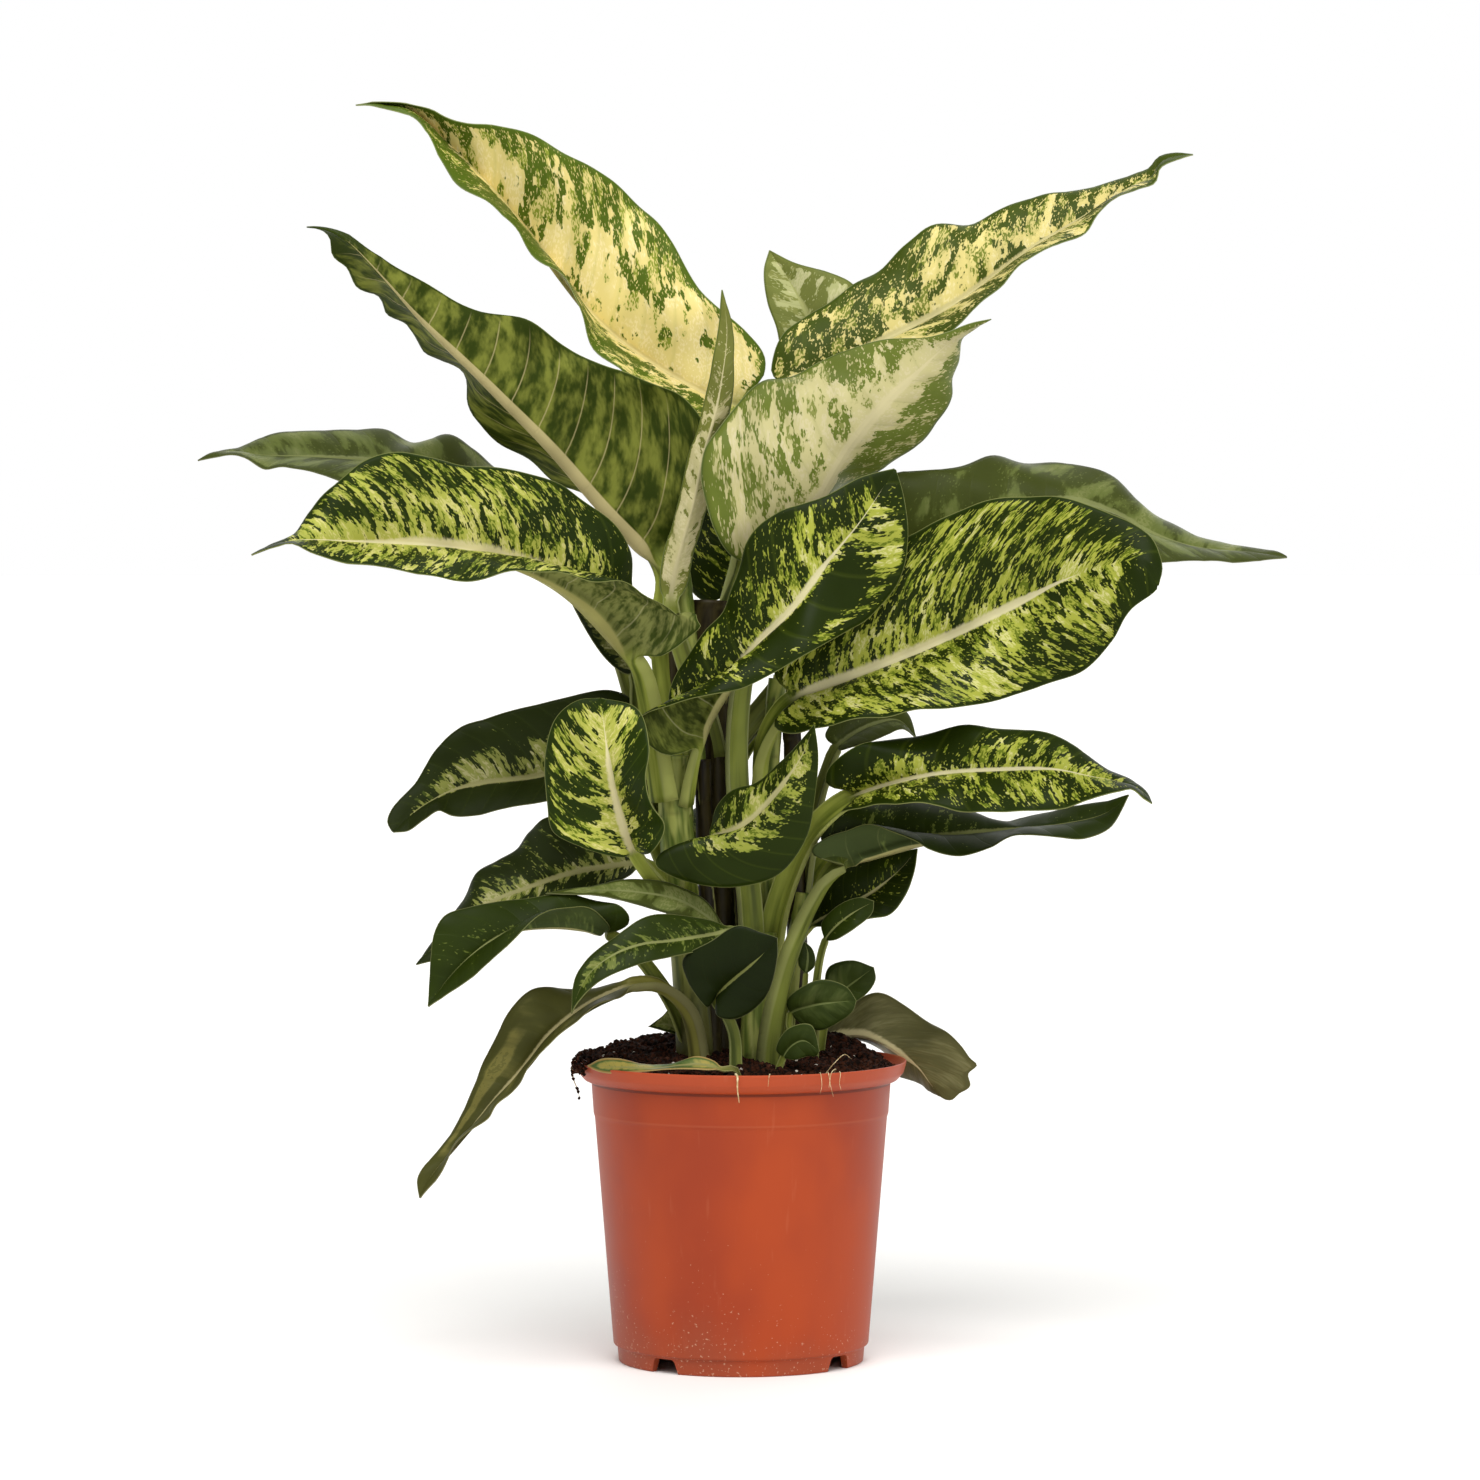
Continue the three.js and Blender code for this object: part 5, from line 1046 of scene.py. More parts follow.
TIP_GREEN, TIP_STEP = 0.9, (0.84, 0.98)
RIB_BLEED = 9.0
NOISE_MIDDLE = NOISE_SHARES / 2
FADE_ALONG, FADE_ACROSS = 0.06, 0.08


def within(start, end, fade, values):
    """1 from start to end and 0 outside, with soft ends."""
    return ease(start - fade, start + fade, values) * (1 - ease(end - fade, end + fade, values))


def paleness(finish, kept):
    """How pale each place of a leaf tends to be: 0 is an even mix of pale and green."""
    _, light, towards_rib, margin, *zones = finish
    tone = light + towards_rib * np.exp(-np.abs(kept["out"]) / RIB_BLEED)
    tone = tone - MARGIN_GREEN * (1 - ease(*MARGIN_STEP, kept["edge"] / margin))
    tone = tone - TIP_GREEN * ease(*TIP_STEP, kept["t"])
    for side, start, end, inner, outer, change in zones:
        inside = within(start, end, FADE_ALONG, kept["t"]) * within(inner, outer, FADE_ACROSS, kept["share"])
        tone = tone + change * inside * (1 if side == BOTH else kept["side"] == side)
    return tone - NOISE_MIDDLE


middle_tone = paleness(FINISH["leaf_centre"], sample_values) + NOISE_MIDDLE
print("the middle leaf runs from %.2f to %.2f" % (middle_tone.min(), middle_tone.max()))

# %% Grow every leaf
# Each leaf reads its own slice of the noise, so that no two have the same flecks
SEED_STEP = 7.3
for number, (leaf_name, leaf) in enumerate(LEAVES.items()):
    finish = FINISH[leaf_name]
    top, bottom, kept = leaf_skin(leaf)
    vertices = np.concatenate([top.reshape(-1, 3), bottom.reshape(-1, 3)])
    faces = shell_faces(*kept["t"].shape)
    grown = add_object("grown_" + leaf_name, vertices, faces, leaf_finishes[finish[0]])
    tone = paleness(finish, kept)
    seed = np.full_like(tone, SEED_STEP * number)
    layers = [{"vein": (kept["vein"], kept["out"], seed), "tone": (tone, kept["rib"], seed * 0 + under),
               "part": (kept["blade"], kept["edge"], kept["phase"])} for under in (0.0, 1.0)]
    for attribute in ("vein", "tone", "part"):
        values = [np.stack(layer[attribute], axis=-1).reshape(-1, 3) for layer in layers]
        give_points(grown, attribute, np.concatenate(values))
    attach(grown, "root")
    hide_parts(leaf_name)
print("leaves grown:", len(LEAVES))

# %% [markdown]
# ## Canes
#
# Dieffenbachia canes are green and wrapped in the bases of their leaf stalks. Each base closes round
# the cane with one edge over the other, and a ring shows where it begins. So a cane is a tube whose
# radius steps out by less than a millimetre at each ring, and along an overlapping edge that turns
# round the cane from one ring to the next.

# %% Cane materials
FIBRE, CLOUD = (1 / 60.0, 1 / 2.4, 1), (1 / 34.0, 1 / 7.0, 1)
# The middle colour browns and darkens the foot of each cane: old skin, and painted shade low in the plant
SEAM_HUE, AGED_AND_SHADED_HUE, RING_HUE = "#a2a460", "#38321a", "#403a1e"


def cane_material(name, deep, fibres, clouds):
    """Smooth stem skin with fine lengthwise fibres, paler at sheath edges and brown at the rings."""
    made, tree, shader = new_material(name)
    along, tone = (add(tree, "ShaderNodeAttribute", attribute_name=key).outputs["Vector"]
                   for key in ("vein", "tone"))
    seam, ring, age_and_shade = add(tree, "ShaderNodeSeparateXYZ", {0: tone}).outputs
    marks = {}
    for key, size, detail in (("fibre", FIBRE, 3.0), ("cloud", CLOUD, 2.0)):
        place = add(tree, VECTOR_MATH, {0: along, 1: size}, operation="MULTIPLY")
        marks[key] = add(tree, NOISE, {"Vector": place, "Scale": 1.0, "Detail": detail})
    fibre_share = add(tree, STEP, dict(enumerate((marks["fibre"], 0.3, 0.68, 0.0, 0.7))), **SMOOTH)
    cloud_share = add(tree, STEP, dict(enumerate((marks["cloud"], 0.4, 0.64, 0.0, 0.8))), **SMOOTH)
    skin = colour(deep)
    for share, hue in ((fibre_share, fibres), (cloud_share, clouds), (seam, SEAM_HUE), (age_and_shade, AGED_AND_SHADED_HUE),
                       (ring, RING_HUE)):
        skin = add(tree, MIX, {0: share, 6: skin, 7: colour(hue)}, data_type="RGBA")
    bump = add(tree, BUMP, {"Height": marks["fibre"], "Strength": 0.3, "Distance": 0.3 * MM})
    feed(tree, shader, {"Base Color": skin, "Roughness": 0.42, "Normal": bump, "IOR": LEAF_IOR,
                        "Specular IOR Level": 0.16})
    return made


green_cane = cane_material("green cane skin", "#44541a", "#75823a", "#a4a858")
# Near-black brown: old canes and leaf bases, darkened further as painted shade deep inside the plant
old_cane_and_shade = cane_material("old brown cane skin and painted shade", "#150f07", "#2c2510", "#3c351a")
print("made", green_cane.name, "and", old_cane_and_shade.name)

# %% Old leaf bases between the canes, the brown ones dark as painted shade
INNER_STALKS = {
    "inner_left": dict(path=[[-22, 12, 150], [-30, 16, 230], [-38, 20, 320], [-37, 18, 420]], radius=[7, 4]),
    "inner_back": dict(path=[[-8, 26, 150], [-14, 26, 240], [-21, 24, 330], [-18, 22, 410]], radius=[6, 4]),
    "inner_middle": dict(path=[[10, 24, 150], [8, 26, 240], [13, 26, 320], [22, 22, 392]], radius=[6.5, 4]),
    "inner_right": dict(path=[[30, 16, 150], [32, 18, 220], [31, 18, 290], [29, 16, 364]], radius=[7, 5.5]),
    "inner_high": dict(path=[[-24, 14, 330], [-22, 16, 380], [-18, 18, 410], [-17, 20, 434]], radius=[9, 14]),
    "inner_fold": dict(path=[[-26, 8, 340], [-29, 9, 390], [-32, 10, 430], [-35, 11, 454]], radius=[7, 6]),
    "inner_shade": dict(path=[[-3, 22, 150], [-2, 22, 210], [-3, 22, 280], [-2, 22, 330]], radius=[6, 5]),
    "inner_front": dict(path=[[-16, 2, 150], [-17, 4, 220], [-20, 6, 280], [-22, 6, 344]], radius=[6, 5]),
    "inner_fork": dict(path=[[15, 10, 240], [15, 12, 300], [17, 14, 350], [21, 16, 390]], radius=[7, 5.5]),
}
# These get the near-black skin: the back cane and old leaf bases, dark as painted shade between the canes
OLD_BROWN_AND_SHADE = ("cane_back", "inner_left", "inner_back", "inner_high", "inner_front", "inner_right", "inner_shade")
# How dark each cane's foot gets: old skin, and painted shade low in the plant
USUAL_AGE_AND_SHADE, AGE_AND_SHADE_BY_CANE = 0.3, {"cane_left": 0.8, "cane_centre": 0.0}
print("old leaf bases:", len(INNER_STALKS))

# %% Canes with their sheath bases
# Lengths and steps are in millimetres. A cane's foot is fully dark below the lower height, not above the
# higher
CANE_SIDES, CANE_ROW, CANE_BESIDE = 64, 2, 0.01
RING_SPACING, RING_WAVE = 34.0, 3
SHEATH_STEP, TAPER_IN_RING, TAPER_ROUND = 0.7, 0.5, 0.6
TURN_PER_RING = 2.4
# The dark foot is old skin, and painted shade low in the plant
DARK_BASE_FROM, DARK_BASE_TO = 285, 180
SEAM_SHADE, RING_SHADE = 0.8, 0.7

for number, (cane_name, cane) in enumerate({**CANES, **INNER_STALKS}.items()):
    line = smooth_curve(sight(cane["path"]))
    rows = int(line.length / CANE_ROW)
    share = np.linspace(0, 1, rows)
    centre = line(share)
    along = heading(line, share, CANE_BESIDE)
    across = unit(np.array([1.0, 0, 0]) - along * along[:, :1])
    turn = np.linspace(0, FULL_TURN, CANE_SIDES, endpoint=False)[None]
    walked = (share * line.length)[:, None] + RING_WAVE * np.sin(turn + number)
    ring_number = np.floor(walked / RING_SPACING)
    in_ring = walked / RING_SPACING - ring_number
    seam = (turn - TURN_PER_RING * ring_number - number + 0.5 * in_ring) % FULL_TURN
    radius = cane["radius"][0] + (cane["radius"][1] - cane["radius"][0]) * share[:, None]
    radius = radius - SHEATH_STEP * (0.3 + TAPER_IN_RING * in_ring + TAPER_ROUND * (seam / FULL_TURN - 0.5))
    skin = round_line(centre, along, across, turn, radius)
    stem = add_tube("grown_" + cane_name, skin, old_cane_and_shade if cane_name in OLD_BROWN_AND_SHADE else green_cane)
    around = radius * np.where(turn > np.pi, turn - FULL_TURN, turn)
    give_points(stem, "vein", np.stack([walked, around, 0 * walked + 11.0 * number], -1).reshape(-1, 3))
    seam_edge = SEAM_SHADE * (1 - ease(0.02, 0.22, seam))
    ring_edge = RING_SHADE * (1 - ease(0.0, 0.05, in_ring))
    old = AGE_AND_SHADE_BY_CANE.get(cane_name, USUAL_AGE_AND_SHADE) * (1 - ease(DARK_BASE_TO, DARK_BASE_FROM, centre[:, 2:])) + 0 * seam
    give_points(stem, "tone", np.stack([seam_edge, ring_edge, old], -1).reshape(-1, 3))
    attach(stem, "root")
    if cane_name in CANES:
        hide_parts(cane_name)
print("canes and old bases grown:", len(CANES) + len(INNER_STALKS))

# %% [markdown]
# ## Pot
#
# The pot is a nursery pot: a thin sheet of brick-coloured polypropylene, drawn into a mould. Its
# corners are all small curves, its rim flares out and ends in a rolled lip, and a faint ring shows
# where pots stack in one another. The shape is an outline turned about the axis. The arched drainage
# notches in the foot and the holes in the floor are cut from it.

# %% Pot material
# Heights on the pot, in millimetres: two lines, and where the rim band and the dust begin and end
# The second height is the middle of a dark line of painted shadow just under the rim's flare
RING_LEVEL, RIM_SHADOW_LEVEL = 142.2, 159.9
# Between these heights the flared rim turns lighter, and it stays lighter up to its top: a painted highlight
RIM_HIGHLIGHT_FROM, RIM_HIGHLIGHT_TO = 161, 164
DUST_FULL, DUST_GONE = 55, 95
PLASTIC_IOR = 1.49


def pot_material():
    """Thermoformed polypropylene: satin, with slight cloudiness, handling scratches and dust low down."""
    made, tree, shader = new_material("brick-coloured polypropylene")
    place = add(tree, "ShaderNodeTexCoord").outputs["Object"]
    height = add(tree, "ShaderNodeSeparateXYZ", {0: place}).outputs[2]
    marks = {}
    for key, size, detail in (("cloud", (14, 14, 9), 3.0), ("scratch", (260, 260, 26), 3.0),
                              ("grain", (1500, 1500, 1500), 2.0), ("grit", (620, 620, 620), 2.0)):
        scaled = add(tree, VECTOR_MATH, {0: place, 1: size}, operation="MULTIPLY")
        marks[key] = add(tree, NOISE, {"Vector": scaled, "Scale": 1.0, "Detail": detail})
    lines = {}
    for key, level in (("ring", RING_LEVEL), ("rim shadow", RIM_SHADOW_LEVEL)):
        above = add(tree, MATH, {0: height, 1: level * MM}, operation="SUBTRACT")
        lines[key] = add(tree, MATH, {0: above}, operation="ABSOLUTE")
    dusty = add(tree, MATH, {0: marks["cloud"], 1: 0.12, 2: height}, operation="MULTIPLY_ADD")
    gritty = add(tree, MATH, {0: dusty, 1: -1.6, 2: marks["grit"]}, operation="MULTIPLY_ADD")

    # Layers from the bare sheet outwards. Each step reads something and has its values at both ends
    hue = colour("#8f3519")
    for values, layer in (
        ((marks["cloud"], 0.35, 0.66, 0.0, 1.0), "#a03e18"),
        # Painted highlight: the flared rim band is lighter
        ((height, RIM_HIGHLIGHT_FROM * MM, RIM_HIGHLIGHT_TO * MM, 0.0, 0.6), "#ac4a2a"),
        ((marks["scratch"], 0.64, 0.76, 0.0, 0.12), "#b86a4c"),
        ((lines["ring"], 0.3 * MM, 0.9 * MM, 0.13, 0.0), "#b46848"),
        # Painted shadow: a dark line just under the rim's flare
        ((lines["rim shadow"], 0.5 * MM, 1.2 * MM, 0.7, 0.0), "#4a170a"),
        ((dusty, DUST_FULL * MM, DUST_GONE * MM, 0.35, 0.0), "#8a4c34"),
        ((gritty, 0.53, 0.59, 0.0, 0.5), "#c9a184"),
    ):
        share = add(tree, STEP, dict(enumerate(values)), **SMOOTH)
        hue = add(tree, MIX, {0: share, 6: hue, 7: colour(layer)}, data_type="RGBA")
    gloss = add(tree, STEP, dict(enumerate((marks["cloud"], 0.3, 0.7, 0.38, 0.5))))
    bump = add(tree, BUMP, {"Height": marks["grain"], "Strength": 0.12, "Distance": 0.1 * MM})
    bump = add(tree, BUMP, {"Height": marks["scratch"], "Strength": 0.1, "Distance": 0.2 * MM,
                            "Normal": bump})
    feed(tree, shader, {"Base Color": hue, "Roughness": gloss, "Normal": bump, "IOR": PLASTIC_IOR,
                        "Specular IOR Level": 0.2})
    return made


pot_plastic = pot_material()
print("made", pot_plastic.name)

# %% Pot outline, turned about its axis
POT_SIDES = 144
POT_OUTLINE = [
    [66, 9], [66, 0], [70, 0], [70.8, 9], [73, 10], [83.6, 140], [84.3, 142], [85.6, 160.4],
    [89.4, 161.2], [93, 165.4], [94.6, 171.2], [94.4, 172], [93.2, 172], [86.6, 163.6], [84, 161.2],
    [71, 11.6], [70, 11],
]
FLOOR_BELOW, FLOOR_ABOVE = 9, 11
CORNER, MOST_OF_EDGE = 1.0, 0.4


def rounded(outline, radius):
    """The outline with each corner cut back by radius and turned into a small curve."""
    outline = np.array(outline, float)
    points = [outline[0]]
    for before, corner, after in zip(outline, outline[1:], outline[2:]):
        start, end = [corner + (other - corner) * min(radius / np.linalg.norm(other - corner), MOST_OF_EDGE)
                      for other in (before, after)]
        for share in (0, 0.25, 0.5, 0.75, 1):
            points.append((1 - share) ** 2 * start + 2 * share * (1 - share) * corner + share ** 2 * end)
    return np.array(points + [outline[-1]])


profile = rounded(POT_OUTLINE, CORNER)
angles = np.linspace(0, FULL_TURN, POT_SIDES, endpoint=False)
turned = np.stack([profile[:, :1] * np.cos(angles), profile[:, :1] * np.sin(angles),
                   np.repeat(profile[:, 1:], POT_SIDES, 1)], -1)
floor_centres = [[0, 0, FLOOR_BELOW], [0, 0, FLOOR_ABOVE]]
middle = len(profile) * POT_SIDES
floors = flipped(fan_faces(middle, 0, POT_SIDES)) + fan_faces(middle + 1, middle - POT_SIDES, POT_SIDES)
pot = add_object("nursery_pot", np.vstack([turned.reshape(-1, 3), floor_centres]),
                 ring_faces(len(profile), POT_SIDES) + floors, pot_plastic)
print("pot faces before the cuts:", len(pot.data.polygons))

# %% Cut the notches and the drain holes
# A reach is where a cutting body starts and ends. The notches lie along y before they are turned
NOTCH_ANGLES = [-38, 52, 142, 232]
NOTCH_ARCH = [[-9.6, -1], [9.6, -1], [8.2, 4], [7.2, 7], [5.6, 8.3], [-5.6, 8.3], [-7.2, 7], [-8.2, 4]]
NOTCH_REACH = (-78, -60)
HOLE_RADIUS, HOLE_SIDES, HOLE_RING = 5, 24, 58
HOLE_REACH = (7, 14)
SHARP_ANGLE = math.radians(35)


def prism(outline, start, end):
    """Vertices and faces of a closed prism: the outline in x and z, from one y to another."""
    places = [[x, y, z] for y in (start, end) for x, z in outline]
    return places, ring_faces(2, len(outline)) + end_faces(2, len(outline))


cut_places, cut_faces = [], []


def add_cut(prism_parts, moved):
    """Adds one cutting body to the list of cuts. moved gives the new place of each of its points."""
    places, faces = prism_parts
    first = len(cut_places)
    cut_places.extend(moved(p) for p in places)
    cut_faces.extend([n + first for n in face] for face in faces)


hole_turns = [FULL_TURN * n / HOLE_SIDES for n in range(HOLE_SIDES)]
hole = prism([[HOLE_RADIUS * math.cos(a), HOLE_RADIUS * math.sin(a)] for a in hole_turns], *HOLE_REACH)
for degrees in NOTCH_ANGLES:
    c, s = math.cos(math.radians(degrees)), math.sin(math.radians(degrees))
    add_cut(prism(NOTCH_ARCH, *NOTCH_REACH), lambda p: [c * p[0] - s * p[1], s * p[0] + c * p[1], p[2]])
    add_cut(hole, lambda p: [c * p[0] - s * (p[2] - HOLE_RING), s * p[0] + c * (p[2] - HOLE_RING), p[1]])
add_cut(hole, lambda p: [p[0], p[2], p[1]])
cutter = add_object("pot_cuts", cut_places, cut_faces, pot_plastic)
for thing in (cutter, pot):
    work = bmesh.new()
    work.from_mesh(thing.data)
    bmesh.ops.recalc_face_normals(work, faces=work.faces)
    work.to_mesh(thing.data)
    work.free()
boolean = pot.modifiers.new("cuts", "BOOLEAN")
boolean.operation = "DIFFERENCE"
boolean.object = cutter
boolean.solver = "EXACT"
graph = bpy.context.evaluated_depsgraph_get()
cut_mesh = bpy.data.meshes.new_from_object(pot.evaluated_get(graph))
pot.modifiers.clear()
pot.data = cut_mesh
bpy.data.objects.remove(cutter)
pot.data.polygons.foreach_set("use_smooth", [True] * len(pot.data.polygons))
pot.data.set_sharp_from_angle(angle=SHARP_ANGLE)
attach(pot, "root")
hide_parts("pot")
print("pot faces after the cuts:", len(pot.data.polygons))

# %% [markdown]
# ## Soil
#
# Potting soil is peat and composted bark: dark red-brown crumbs of many sizes, with white grains of
# perlite to keep it open. The body of the soil is one lumpy solid that follows the measured heap. The
# crumbs repeat hundreds of times, so Geometry Nodes scatter them over its top. Each crumb starts as a
# ball of twenty faces, or eighty for lumps and perlite. Noise then gives every one a shape of its own.

# %% Soil materials
def soil_material(name, dark, light, roughness):
    """Damp crumbs, matt, with a colour that changes from grain to grain."""
    made, tree, shader = new_material(name)
    place = add(tree, "ShaderNodeTexCoord").outputs["Object"]
    grain = add(tree, NOISE, {"Vector": place, "Scale": 420.0, "Detail": 3.0})
    fine = add(tree, NOISE, {"Vector": place, "Scale": 1500.0, "Detail": 2.0})
    share = add(tree, STEP, dict(enumerate((grain, 0.36, 0.66, 0.0, 1.0))), **SMOOTH)
    hue = add(tree, MIX, {0: share, 6: colour(dark), 7: colour(light)}, data_type="RGBA")
    bump = add(tree, BUMP, {"Height": fine, "Strength": 0.8, "Distance": 0.5 * MM})
    feed(tree, shader, {"Base Color": hue, "Roughness": roughness, "Normal": bump,
                        "Specular IOR Level": 0.12})
    return made


peat = soil_material("moist peat", "#0c0502", "#361a0c", 0.95)
bark = soil_material("composted bark", "#1e0e08", "#4a2a1a", 0.85)
perlite = soil_material("perlite", "#a59c8e", "#e4ded2", 0.9)
root_skin = soil_material("dry root", "#b49a6c", "#e2d2a8", 0.7)
print("soil materials:", peat.name, bark.name, perlite.name, root_skin.name)

# %% The soil's body
# All in millimetres. The shoulder and the foot are a radius and a height, inside the pot's wall
SOIL_FLOOR, SOIL_EDGE, SOIL_RADIUS = 12.6, 167.0, 88.3
SOIL_HEAP, SOIL_LEAN = 8.0, 10.0
SOIL_RINGS, SOIL_SIDES = 90, 240
SOIL_SHOULDER, SOIL_FOOT = (83.1, 161.5), (70.4, SOIL_FLOOR)
MOUND_X, MOUND_Y, MOUND_HEIGHT, MOUND_SPREAD = 58, 44, 6.5, 600
COARSE_HEIGHT, COARSE_SIZE = 1.3, 5
FINE_HEIGHT, FINE_SIZE = 0.7, 1.9


def soil_height(x, y):
    """The height of the soil: heaped at the back and left, lower at the right front, with lumps."""
    reach = np.minimum(np.hypot(x, y) / SOIL_RADIUS, 1)
    heap = SOIL_HEAP + SOIL_LEAN * (0.9 * y - 0.35 * x) / SOIL_RADIUS
    lumps = 1.1 * np.sin(x / 7.3 + 1) * np.cos(y / 6.1) + 0.8 * np.sin((x + y) / 4.3)
    mound = MOUND_HEIGHT * np.exp(-((x - MOUND_X) ** 2 + (y - MOUND_Y) ** 2) / MOUND_SPREAD)
    return SOIL_EDGE + (heap + lumps + mound) * (1 - reach ** 12)


def crumble(x, y, z):
    """A small rise or dip from crumbs, in millimetres."""
    coarse = noise.noise(Vector((x / COARSE_SIZE, y / COARSE_SIZE, z / COARSE_SIZE)))
    fine = noise.noise(Vector((x / FINE_SIZE, y / FINE_SIZE, 3.0)))
    return COARSE_HEIGHT * coarse + FINE_HEIGHT * fine


ring_radius = SOIL_RADIUS * (np.arange(1, SOIL_RINGS + 1) / SOIL_RINGS)[:, None]
angles = np.linspace(0, FULL_TURN, SOIL_SIDES, endpoint=False)
xs, ys = ring_radius * np.cos(angles), ring_radius * np.sin(angles)
zs = soil_height(xs, ys)
zs = zs + np.vectorize(crumble)(xs, ys, zs) * (1 - 0.7 * (ring_radius / SOIL_RADIUS) ** 6)
rings = [np.stack([xs, ys, zs], -1).reshape(-1, 3)]
for radius, z in (SOIL_SHOULDER, SOIL_FOOT):
    rings.append(np.stack([radius * np.cos(angles), radius * np.sin(angles), 0 * angles + z], -1))
soil_centres = [[0, 0, float(soil_height(0.0, 0.0))], [0, 0, SOIL_FLOOR]]
soil_places = np.vstack(rings + [soil_centres])
soil_walls = flipped(ring_faces(SOIL_RINGS + 2, SOIL_SIDES))
middle = (SOIL_RINGS + 2) * SOIL_SIDES
soil_caps = fan_faces(middle, 0, SOIL_SIDES) + flipped(fan_faces(middle + 1, middle - SOIL_SIDES, SOIL_SIDES))
soil = add_object("soil_body", soil_places, soil_walls + soil_caps, peat)
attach(soil, "root")
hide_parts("soil")
print("soil faces:", len(soil.data.polygons))

# %% A tree of nodes that scatters crumbs over a surface
CRUMB_NOISE = 700.0
WHOLE_TURN = (6.28, 6.28, 6.28)
CRUMB_INPUTS = {
    "Surface": "NodeSocketGeometry", "Crumbs per square metre": "NodeSocketFloat",
    "Smallest": "NodeSocketFloat", "Largest": "NodeSocketFloat", "Roughness": "NodeSocketFloat",
    "Subdivisions": "NodeSocketInt", "Seed": "NodeSocketInt", "Material": "NodeSocketMaterial",
}


def crumb_tree():
    """Geometry Nodes: scatter, size, turn and roughen crumbs. Its inputs are sizes in metres."""
    tree = bpy.data.node_groups.new("scattered crumbs", "GeometryNodeTree")
    for label, kind in CRUMB_INPUTS.items():
        tree.interface.new_socket(label, in_out="INPUT", socket_type=kind)
    tree.interface.new_socket("Crumbs", in_out="OUTPUT", socket_type="NodeSocketGeometry")
    given = add(tree, "NodeGroupInput").outputs
    seed = given["Seed"]
    points = add(tree, "GeometryNodeDistributePointsOnFaces",
                 {"Mesh": given["Surface"], "Density": given["Crumbs per square metre"], "Seed": seed})
    ball = add(tree, "GeometryNodeMeshIcoSphere", {"Radius": 0.5, "Subdivisions": given["Subdivisions"]})
    low = add(tree, "ShaderNodeCombineXYZ", {axis: given["Smallest"] for axis in range(3)})
    high = add(tree, "ShaderNodeCombineXYZ", {axis: given["Largest"] for axis in range(3)})
    turn, size = (add(tree, "FunctionNodeRandomValue", {0: least, 1: most, "Seed": seed},
                      data_type="FLOAT_VECTOR") for least, most in (((0, 0, 0), WHOLE_TURN), (low, high)))
    placed = add(tree, "GeometryNodeInstanceOnPoints",
                 {"Points": points, "Instance": ball, "Rotation": turn, "Scale": size})
    real = add(tree, "GeometryNodeRealizeInstances", {0: placed})
    rough = add(tree, NOISE, {"Scale": CRUMB_NOISE, "Detail": 1.0}).outputs["Color"]
    centred = add(tree, VECTOR_MATH, {0: rough, 1: (0.5, 0.5, 0.5)}, operation="SUBTRACT")
    push = add(tree, VECTOR_MATH, {0: centred, 3: given["Roughness"]}, operation="SCALE")
    moved = add(tree, "GeometryNodeSetPosition", {"Geometry": real, "Offset": push})
    painted = add(tree, "GeometryNodeSetMaterial", {0: moved, "Material": given["Material"]})
    add(tree, "NodeGroupOutput", {"Crumbs": painted})
    return tree


CRUMB_TREE = crumb_tree()


def scatter(name, surface, material, density, smallest, largest, roughness, subdivisions, seed):
    """Crumbs over a surface, as a plain mesh piece. Sizes are in millimetres."""
    made = bpy.data.objects.new(name, surface.copy())
    bpy.context.scene.collection.objects.link(made)
    modifier = made.modifiers.new("crumbs", "NODES")
    modifier.node_group = CRUMB_TREE
    values = {"Crumbs per square metre": density, "Smallest": smallest * MM, "Largest": largest * MM,
              "Roughness": roughness * MM, "Subdivisions": subdivisions, "Seed": seed, "Material": material}
    for item in CRUMB_TREE.interface.items_tree:
        if item.in_out == "INPUT" and item.name in values:
            modifier[item.identifier] = values[item.name]
    graph = bpy.context.evaluated_depsgraph_get()
    plain = bpy.data.meshes.new_from_object(made.evaluated_get(graph))
    made.modifiers.clear()
    made.data = plain
    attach(made, "root")
    print(name, "triangles:", len(plain.polygons))


print("crumb tree nodes:", len(CRUMB_TREE.nodes))

# %% Crumbs, bark and perlite on the soil
# Material, crumbs per square metre, smallest and largest size, roughness, subdivisions, seed
ON_THE_SOIL = {
    "soil_crumbs": (peat, 95000, 1.2, 4.0, 1.6, 1, 3),
    "soil_lumps": (peat, 9000, 3.5, 7.5, 3.0, 2, 5),
    "soil_bark": (bark, 9000, 1.5, 5.0, 2.0, 1, 8),
    "soil_perlite": (perlite, 3500, 1.2, 2.8, 1.0, 2, 13),
}
top_surface = bpy.data.meshes.new("soil_top")
top_surface.from_pydata((soil_places * MM).tolist(), [], soil_walls[:(SOIL_RINGS - 1) * SOIL_SIDES])
for crumbs_name, settings in ON_THE_SOIL.items():
    scatter(crumbs_name, top_surface, *settings)

# %% [markdown]
# ## Roots and spilt soil
#
# A few dry roots hang over the front of the rim, and some soil has spilt over the left end of the
# rim, with a string of crumbs that hangs from it. A root is a thin tapering tube along a short
# curve through listed points. The spilt crumbs are scattered over a small patch that lies on the rim.

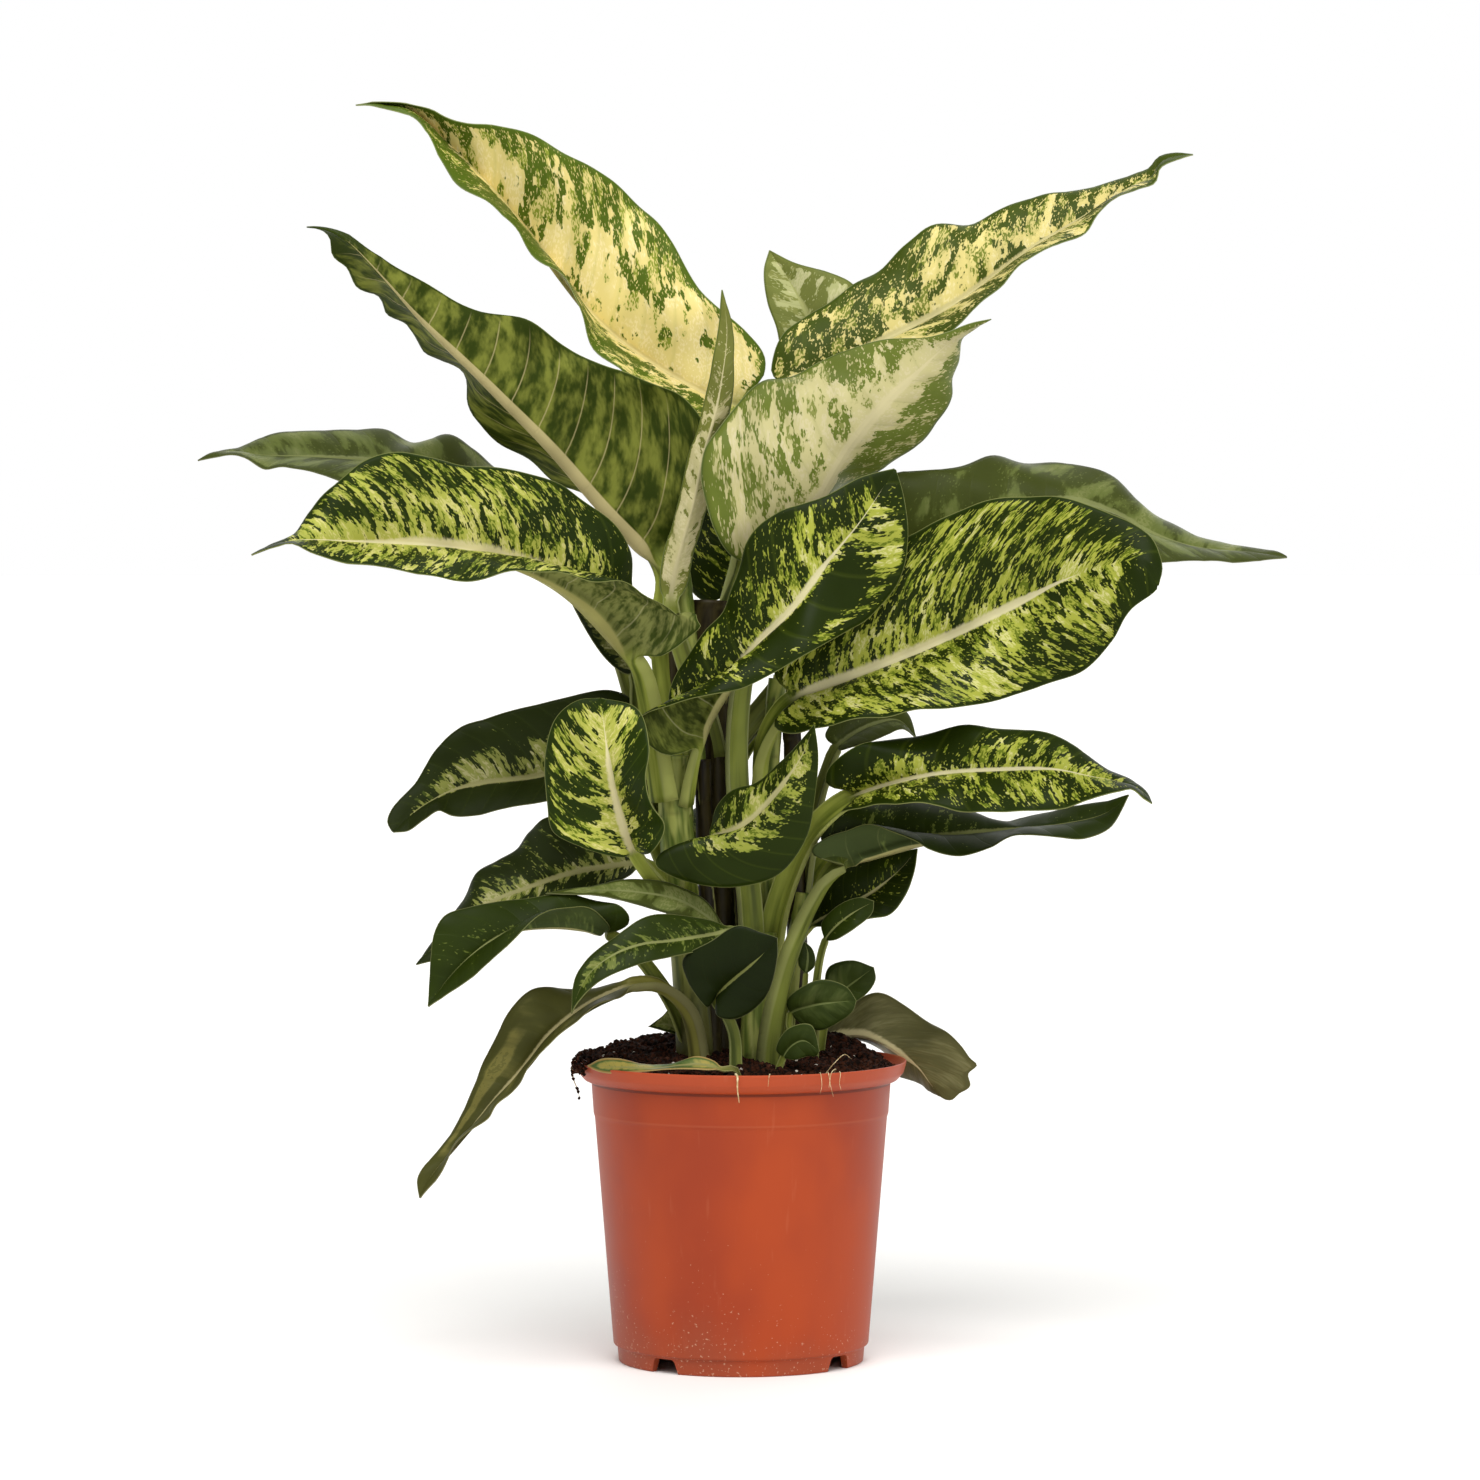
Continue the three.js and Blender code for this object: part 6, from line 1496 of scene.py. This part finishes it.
# %% Roots over the rim
ROOTS = {
    "root_front": ([[-3, -80, 166], [-3, -86, 169], [-3, -92, 172.6], [-2, -96, 171.5], [-2, -96.2, 165],
        [-1, -95.8, 157]], 0.8),
    "root_right": ([[18, -78, 168], [17, -86, 170], [16, -91, 172.6], [15.5, -95.6, 171], [15, -95.4, 166]],
        0.35),
    "root_forked": ([[52, -58, 169], [53, -68, 173], [51, -77, 172.8], [50, -82, 171], [49, -83, 164]], 0.4),
    "root_loop": ([[46, -62, 168], [52, -66, 176], [58, -64, 181], [62, -60, 178]], 0.3),
    "root_hair_left": ([[43, -72, 168], [44, -81, 172.4], [44.5, -84.4, 171.4], [45, -84.6, 165],
        [44, -84, 161]], 0.25),
    "root_hair_middle": ([[48, -70, 168], [48.5, -79, 172.5], [49, -82, 171], [50, -82.4, 165],
        [51.5, -81, 159]], 0.25),
    "root_hair_right": ([[55, -66, 168], [55, -74, 172.4], [55.5, -77.6, 171.4], [55, -78, 166],
        [56, -77, 162]], 0.25),
    "root_hanging": ([[-90, -8, 172], [-94, -8, 172.8], [-96, -8, 169], [-95.6, -8, 162], [-93, -8, 155],
        [-92, -8, 150]], 0.5),
}

ROOT_SIDES, ROOT_ROW, FEWEST_ROOT_ROWS, ROOT_BESIDE = 8, 1.2, 8, 0.02
ROOT_TAPER, TAPER_LATE = 0.75, 1.5
ROOT_ASIDE = [0.3, 0.2, 0.9]


def tube(name, points, radius):
    """A thin tapering root along given points, closed at both ends."""
    line = smooth_curve(points)
    rows = max(FEWEST_ROOT_ROWS, int(line.length / ROOT_ROW))
    share = np.linspace(0, 1, rows)
    along = heading(line, share, ROOT_BESIDE)
    across = unit(np.cross(along, ROOT_ASIDE))
    turn = np.linspace(0, FULL_TURN, ROOT_SIDES, endpoint=False)[None]
    thick = radius * (1 - ROOT_TAPER * share ** TAPER_LATE)[:, None]
    made = add_tube(name, round_line(line(share), along, across, turn, thick), root_skin)
    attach(made, "root")
    return made


for root_name, (points, radius) in ROOTS.items():
    root = tube(root_name, points, radius)
    if root_name == "root_front":
        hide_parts("root_thread")
print("roots:", len(ROOTS))

# %% Soil spilt over the rim
SPILL_TURNS = np.radians(np.linspace(158, 204, 24))
SPILL_OUTLINE = [[80, 174], [87, 175.5], [93, 174.5], [96, 171], [96, 166]]
SPILT = {
    "spilt_crumbs": (peat, 90000, 1.4, 3.6, 1.6, 1, 21),
    "spilt_lumps": (bark, 14000, 2.5, 5.5, 2.2, 1, 22),
}
HANGING = (peat, 240000, 1.2, 2.8, 1.2, 1, 23)
spill_places = np.array([[r * math.cos(a), r * math.sin(a), z]
                         for r, z in SPILL_OUTLINE for a in SPILL_TURNS])
spill_faces = grid_faces(len(SPILL_OUTLINE), len(SPILL_TURNS)).tolist()
spill = bpy.data.meshes.new("spill")
spill.from_pydata((spill_places * MM).tolist(), [], spill_faces)
for crumbs_name, settings in SPILT.items():
    scatter(crumbs_name, spill, *settings)
scatter("hanging_crumbs", bpy.data.objects["root_hanging"].data, *HANGING)

# %% [markdown]
# ## Floor and light
#
# The plant stands on a plain pale floor in soft studio light. Three suns with wide discs give a soft
# key from above the front, a weak fill from the right and a weak light from behind. A pale surrounding
# does the rest, so that only the gaps deep inside the plant grow dark. The surrounding is white near
# the horizon, where the camera sees it behind the plant, and darker overhead, which gives the leaves
# some shape.

# %% Floor
FLOOR_HALF = 60000
floor_finish, floor_tree, floor_shader = new_material("pale studio floor")
feed(floor_tree, floor_shader, {"Base Color": colour("#f4f3f0"), "Roughness": 0.85})
floor_corners = [[x * FLOOR_HALF, y * FLOOR_HALF, 0] for x, y in ((-1, -1), (1, -1), (1, 1), (-1, 1))]
studio_floor = add_object("studio_floor", floor_corners, [[0, 1, 2, 3]], floor_finish, smooth=False)
print("floor:", studio_floor.dimensions[:])

# %% Light
SKY_LOW, SKY_HIGH = 1.0, 0.4
SKY_FROM, SKY_TO = 0.14, 0.5


def sun(name, strength, disc_degrees, from_right, from_behind, height):
    """A soft far light that comes from the given direction."""
    data = bpy.data.lights.new(name, "SUN")
    data.energy = strength
    data.angle = math.radians(disc_degrees)
    made = bpy.data.objects.new(name, data)
    direction = Vector((from_right, from_behind, height))
    made.rotation_euler = direction.to_track_quat("Z", "Y").to_euler()
    bpy.context.scene.collection.objects.link(made)


sun("key light", 2.6, 45, -0.1, -1.1, 1.7)
sun("fill light", 0.6, 60, 1.0, -1.0, 0.5)
sun("back light", 0.9, 60, 0.3, 1.0, 0.9)
world = bpy.data.worlds.new("studio")
world.use_nodes = True
bpy.context.scene.world = world
sky = world.node_tree
direction = add(sky, "ShaderNodeTexCoord").outputs["Generated"]
upwards = add(sky, "ShaderNodeSeparateXYZ", {0: direction}).outputs[2]
brightness = add(sky, STEP, {0: upwards, 1: SKY_FROM, 2: SKY_TO, 3: SKY_LOW, 4: SKY_HIGH}, **SMOOTH)
feed(sky, sky.nodes["Background"], {"Color": colour("#ffffff"), "Strength": brightness})
bpy.context.scene.view_settings.view_transform = "Standard"
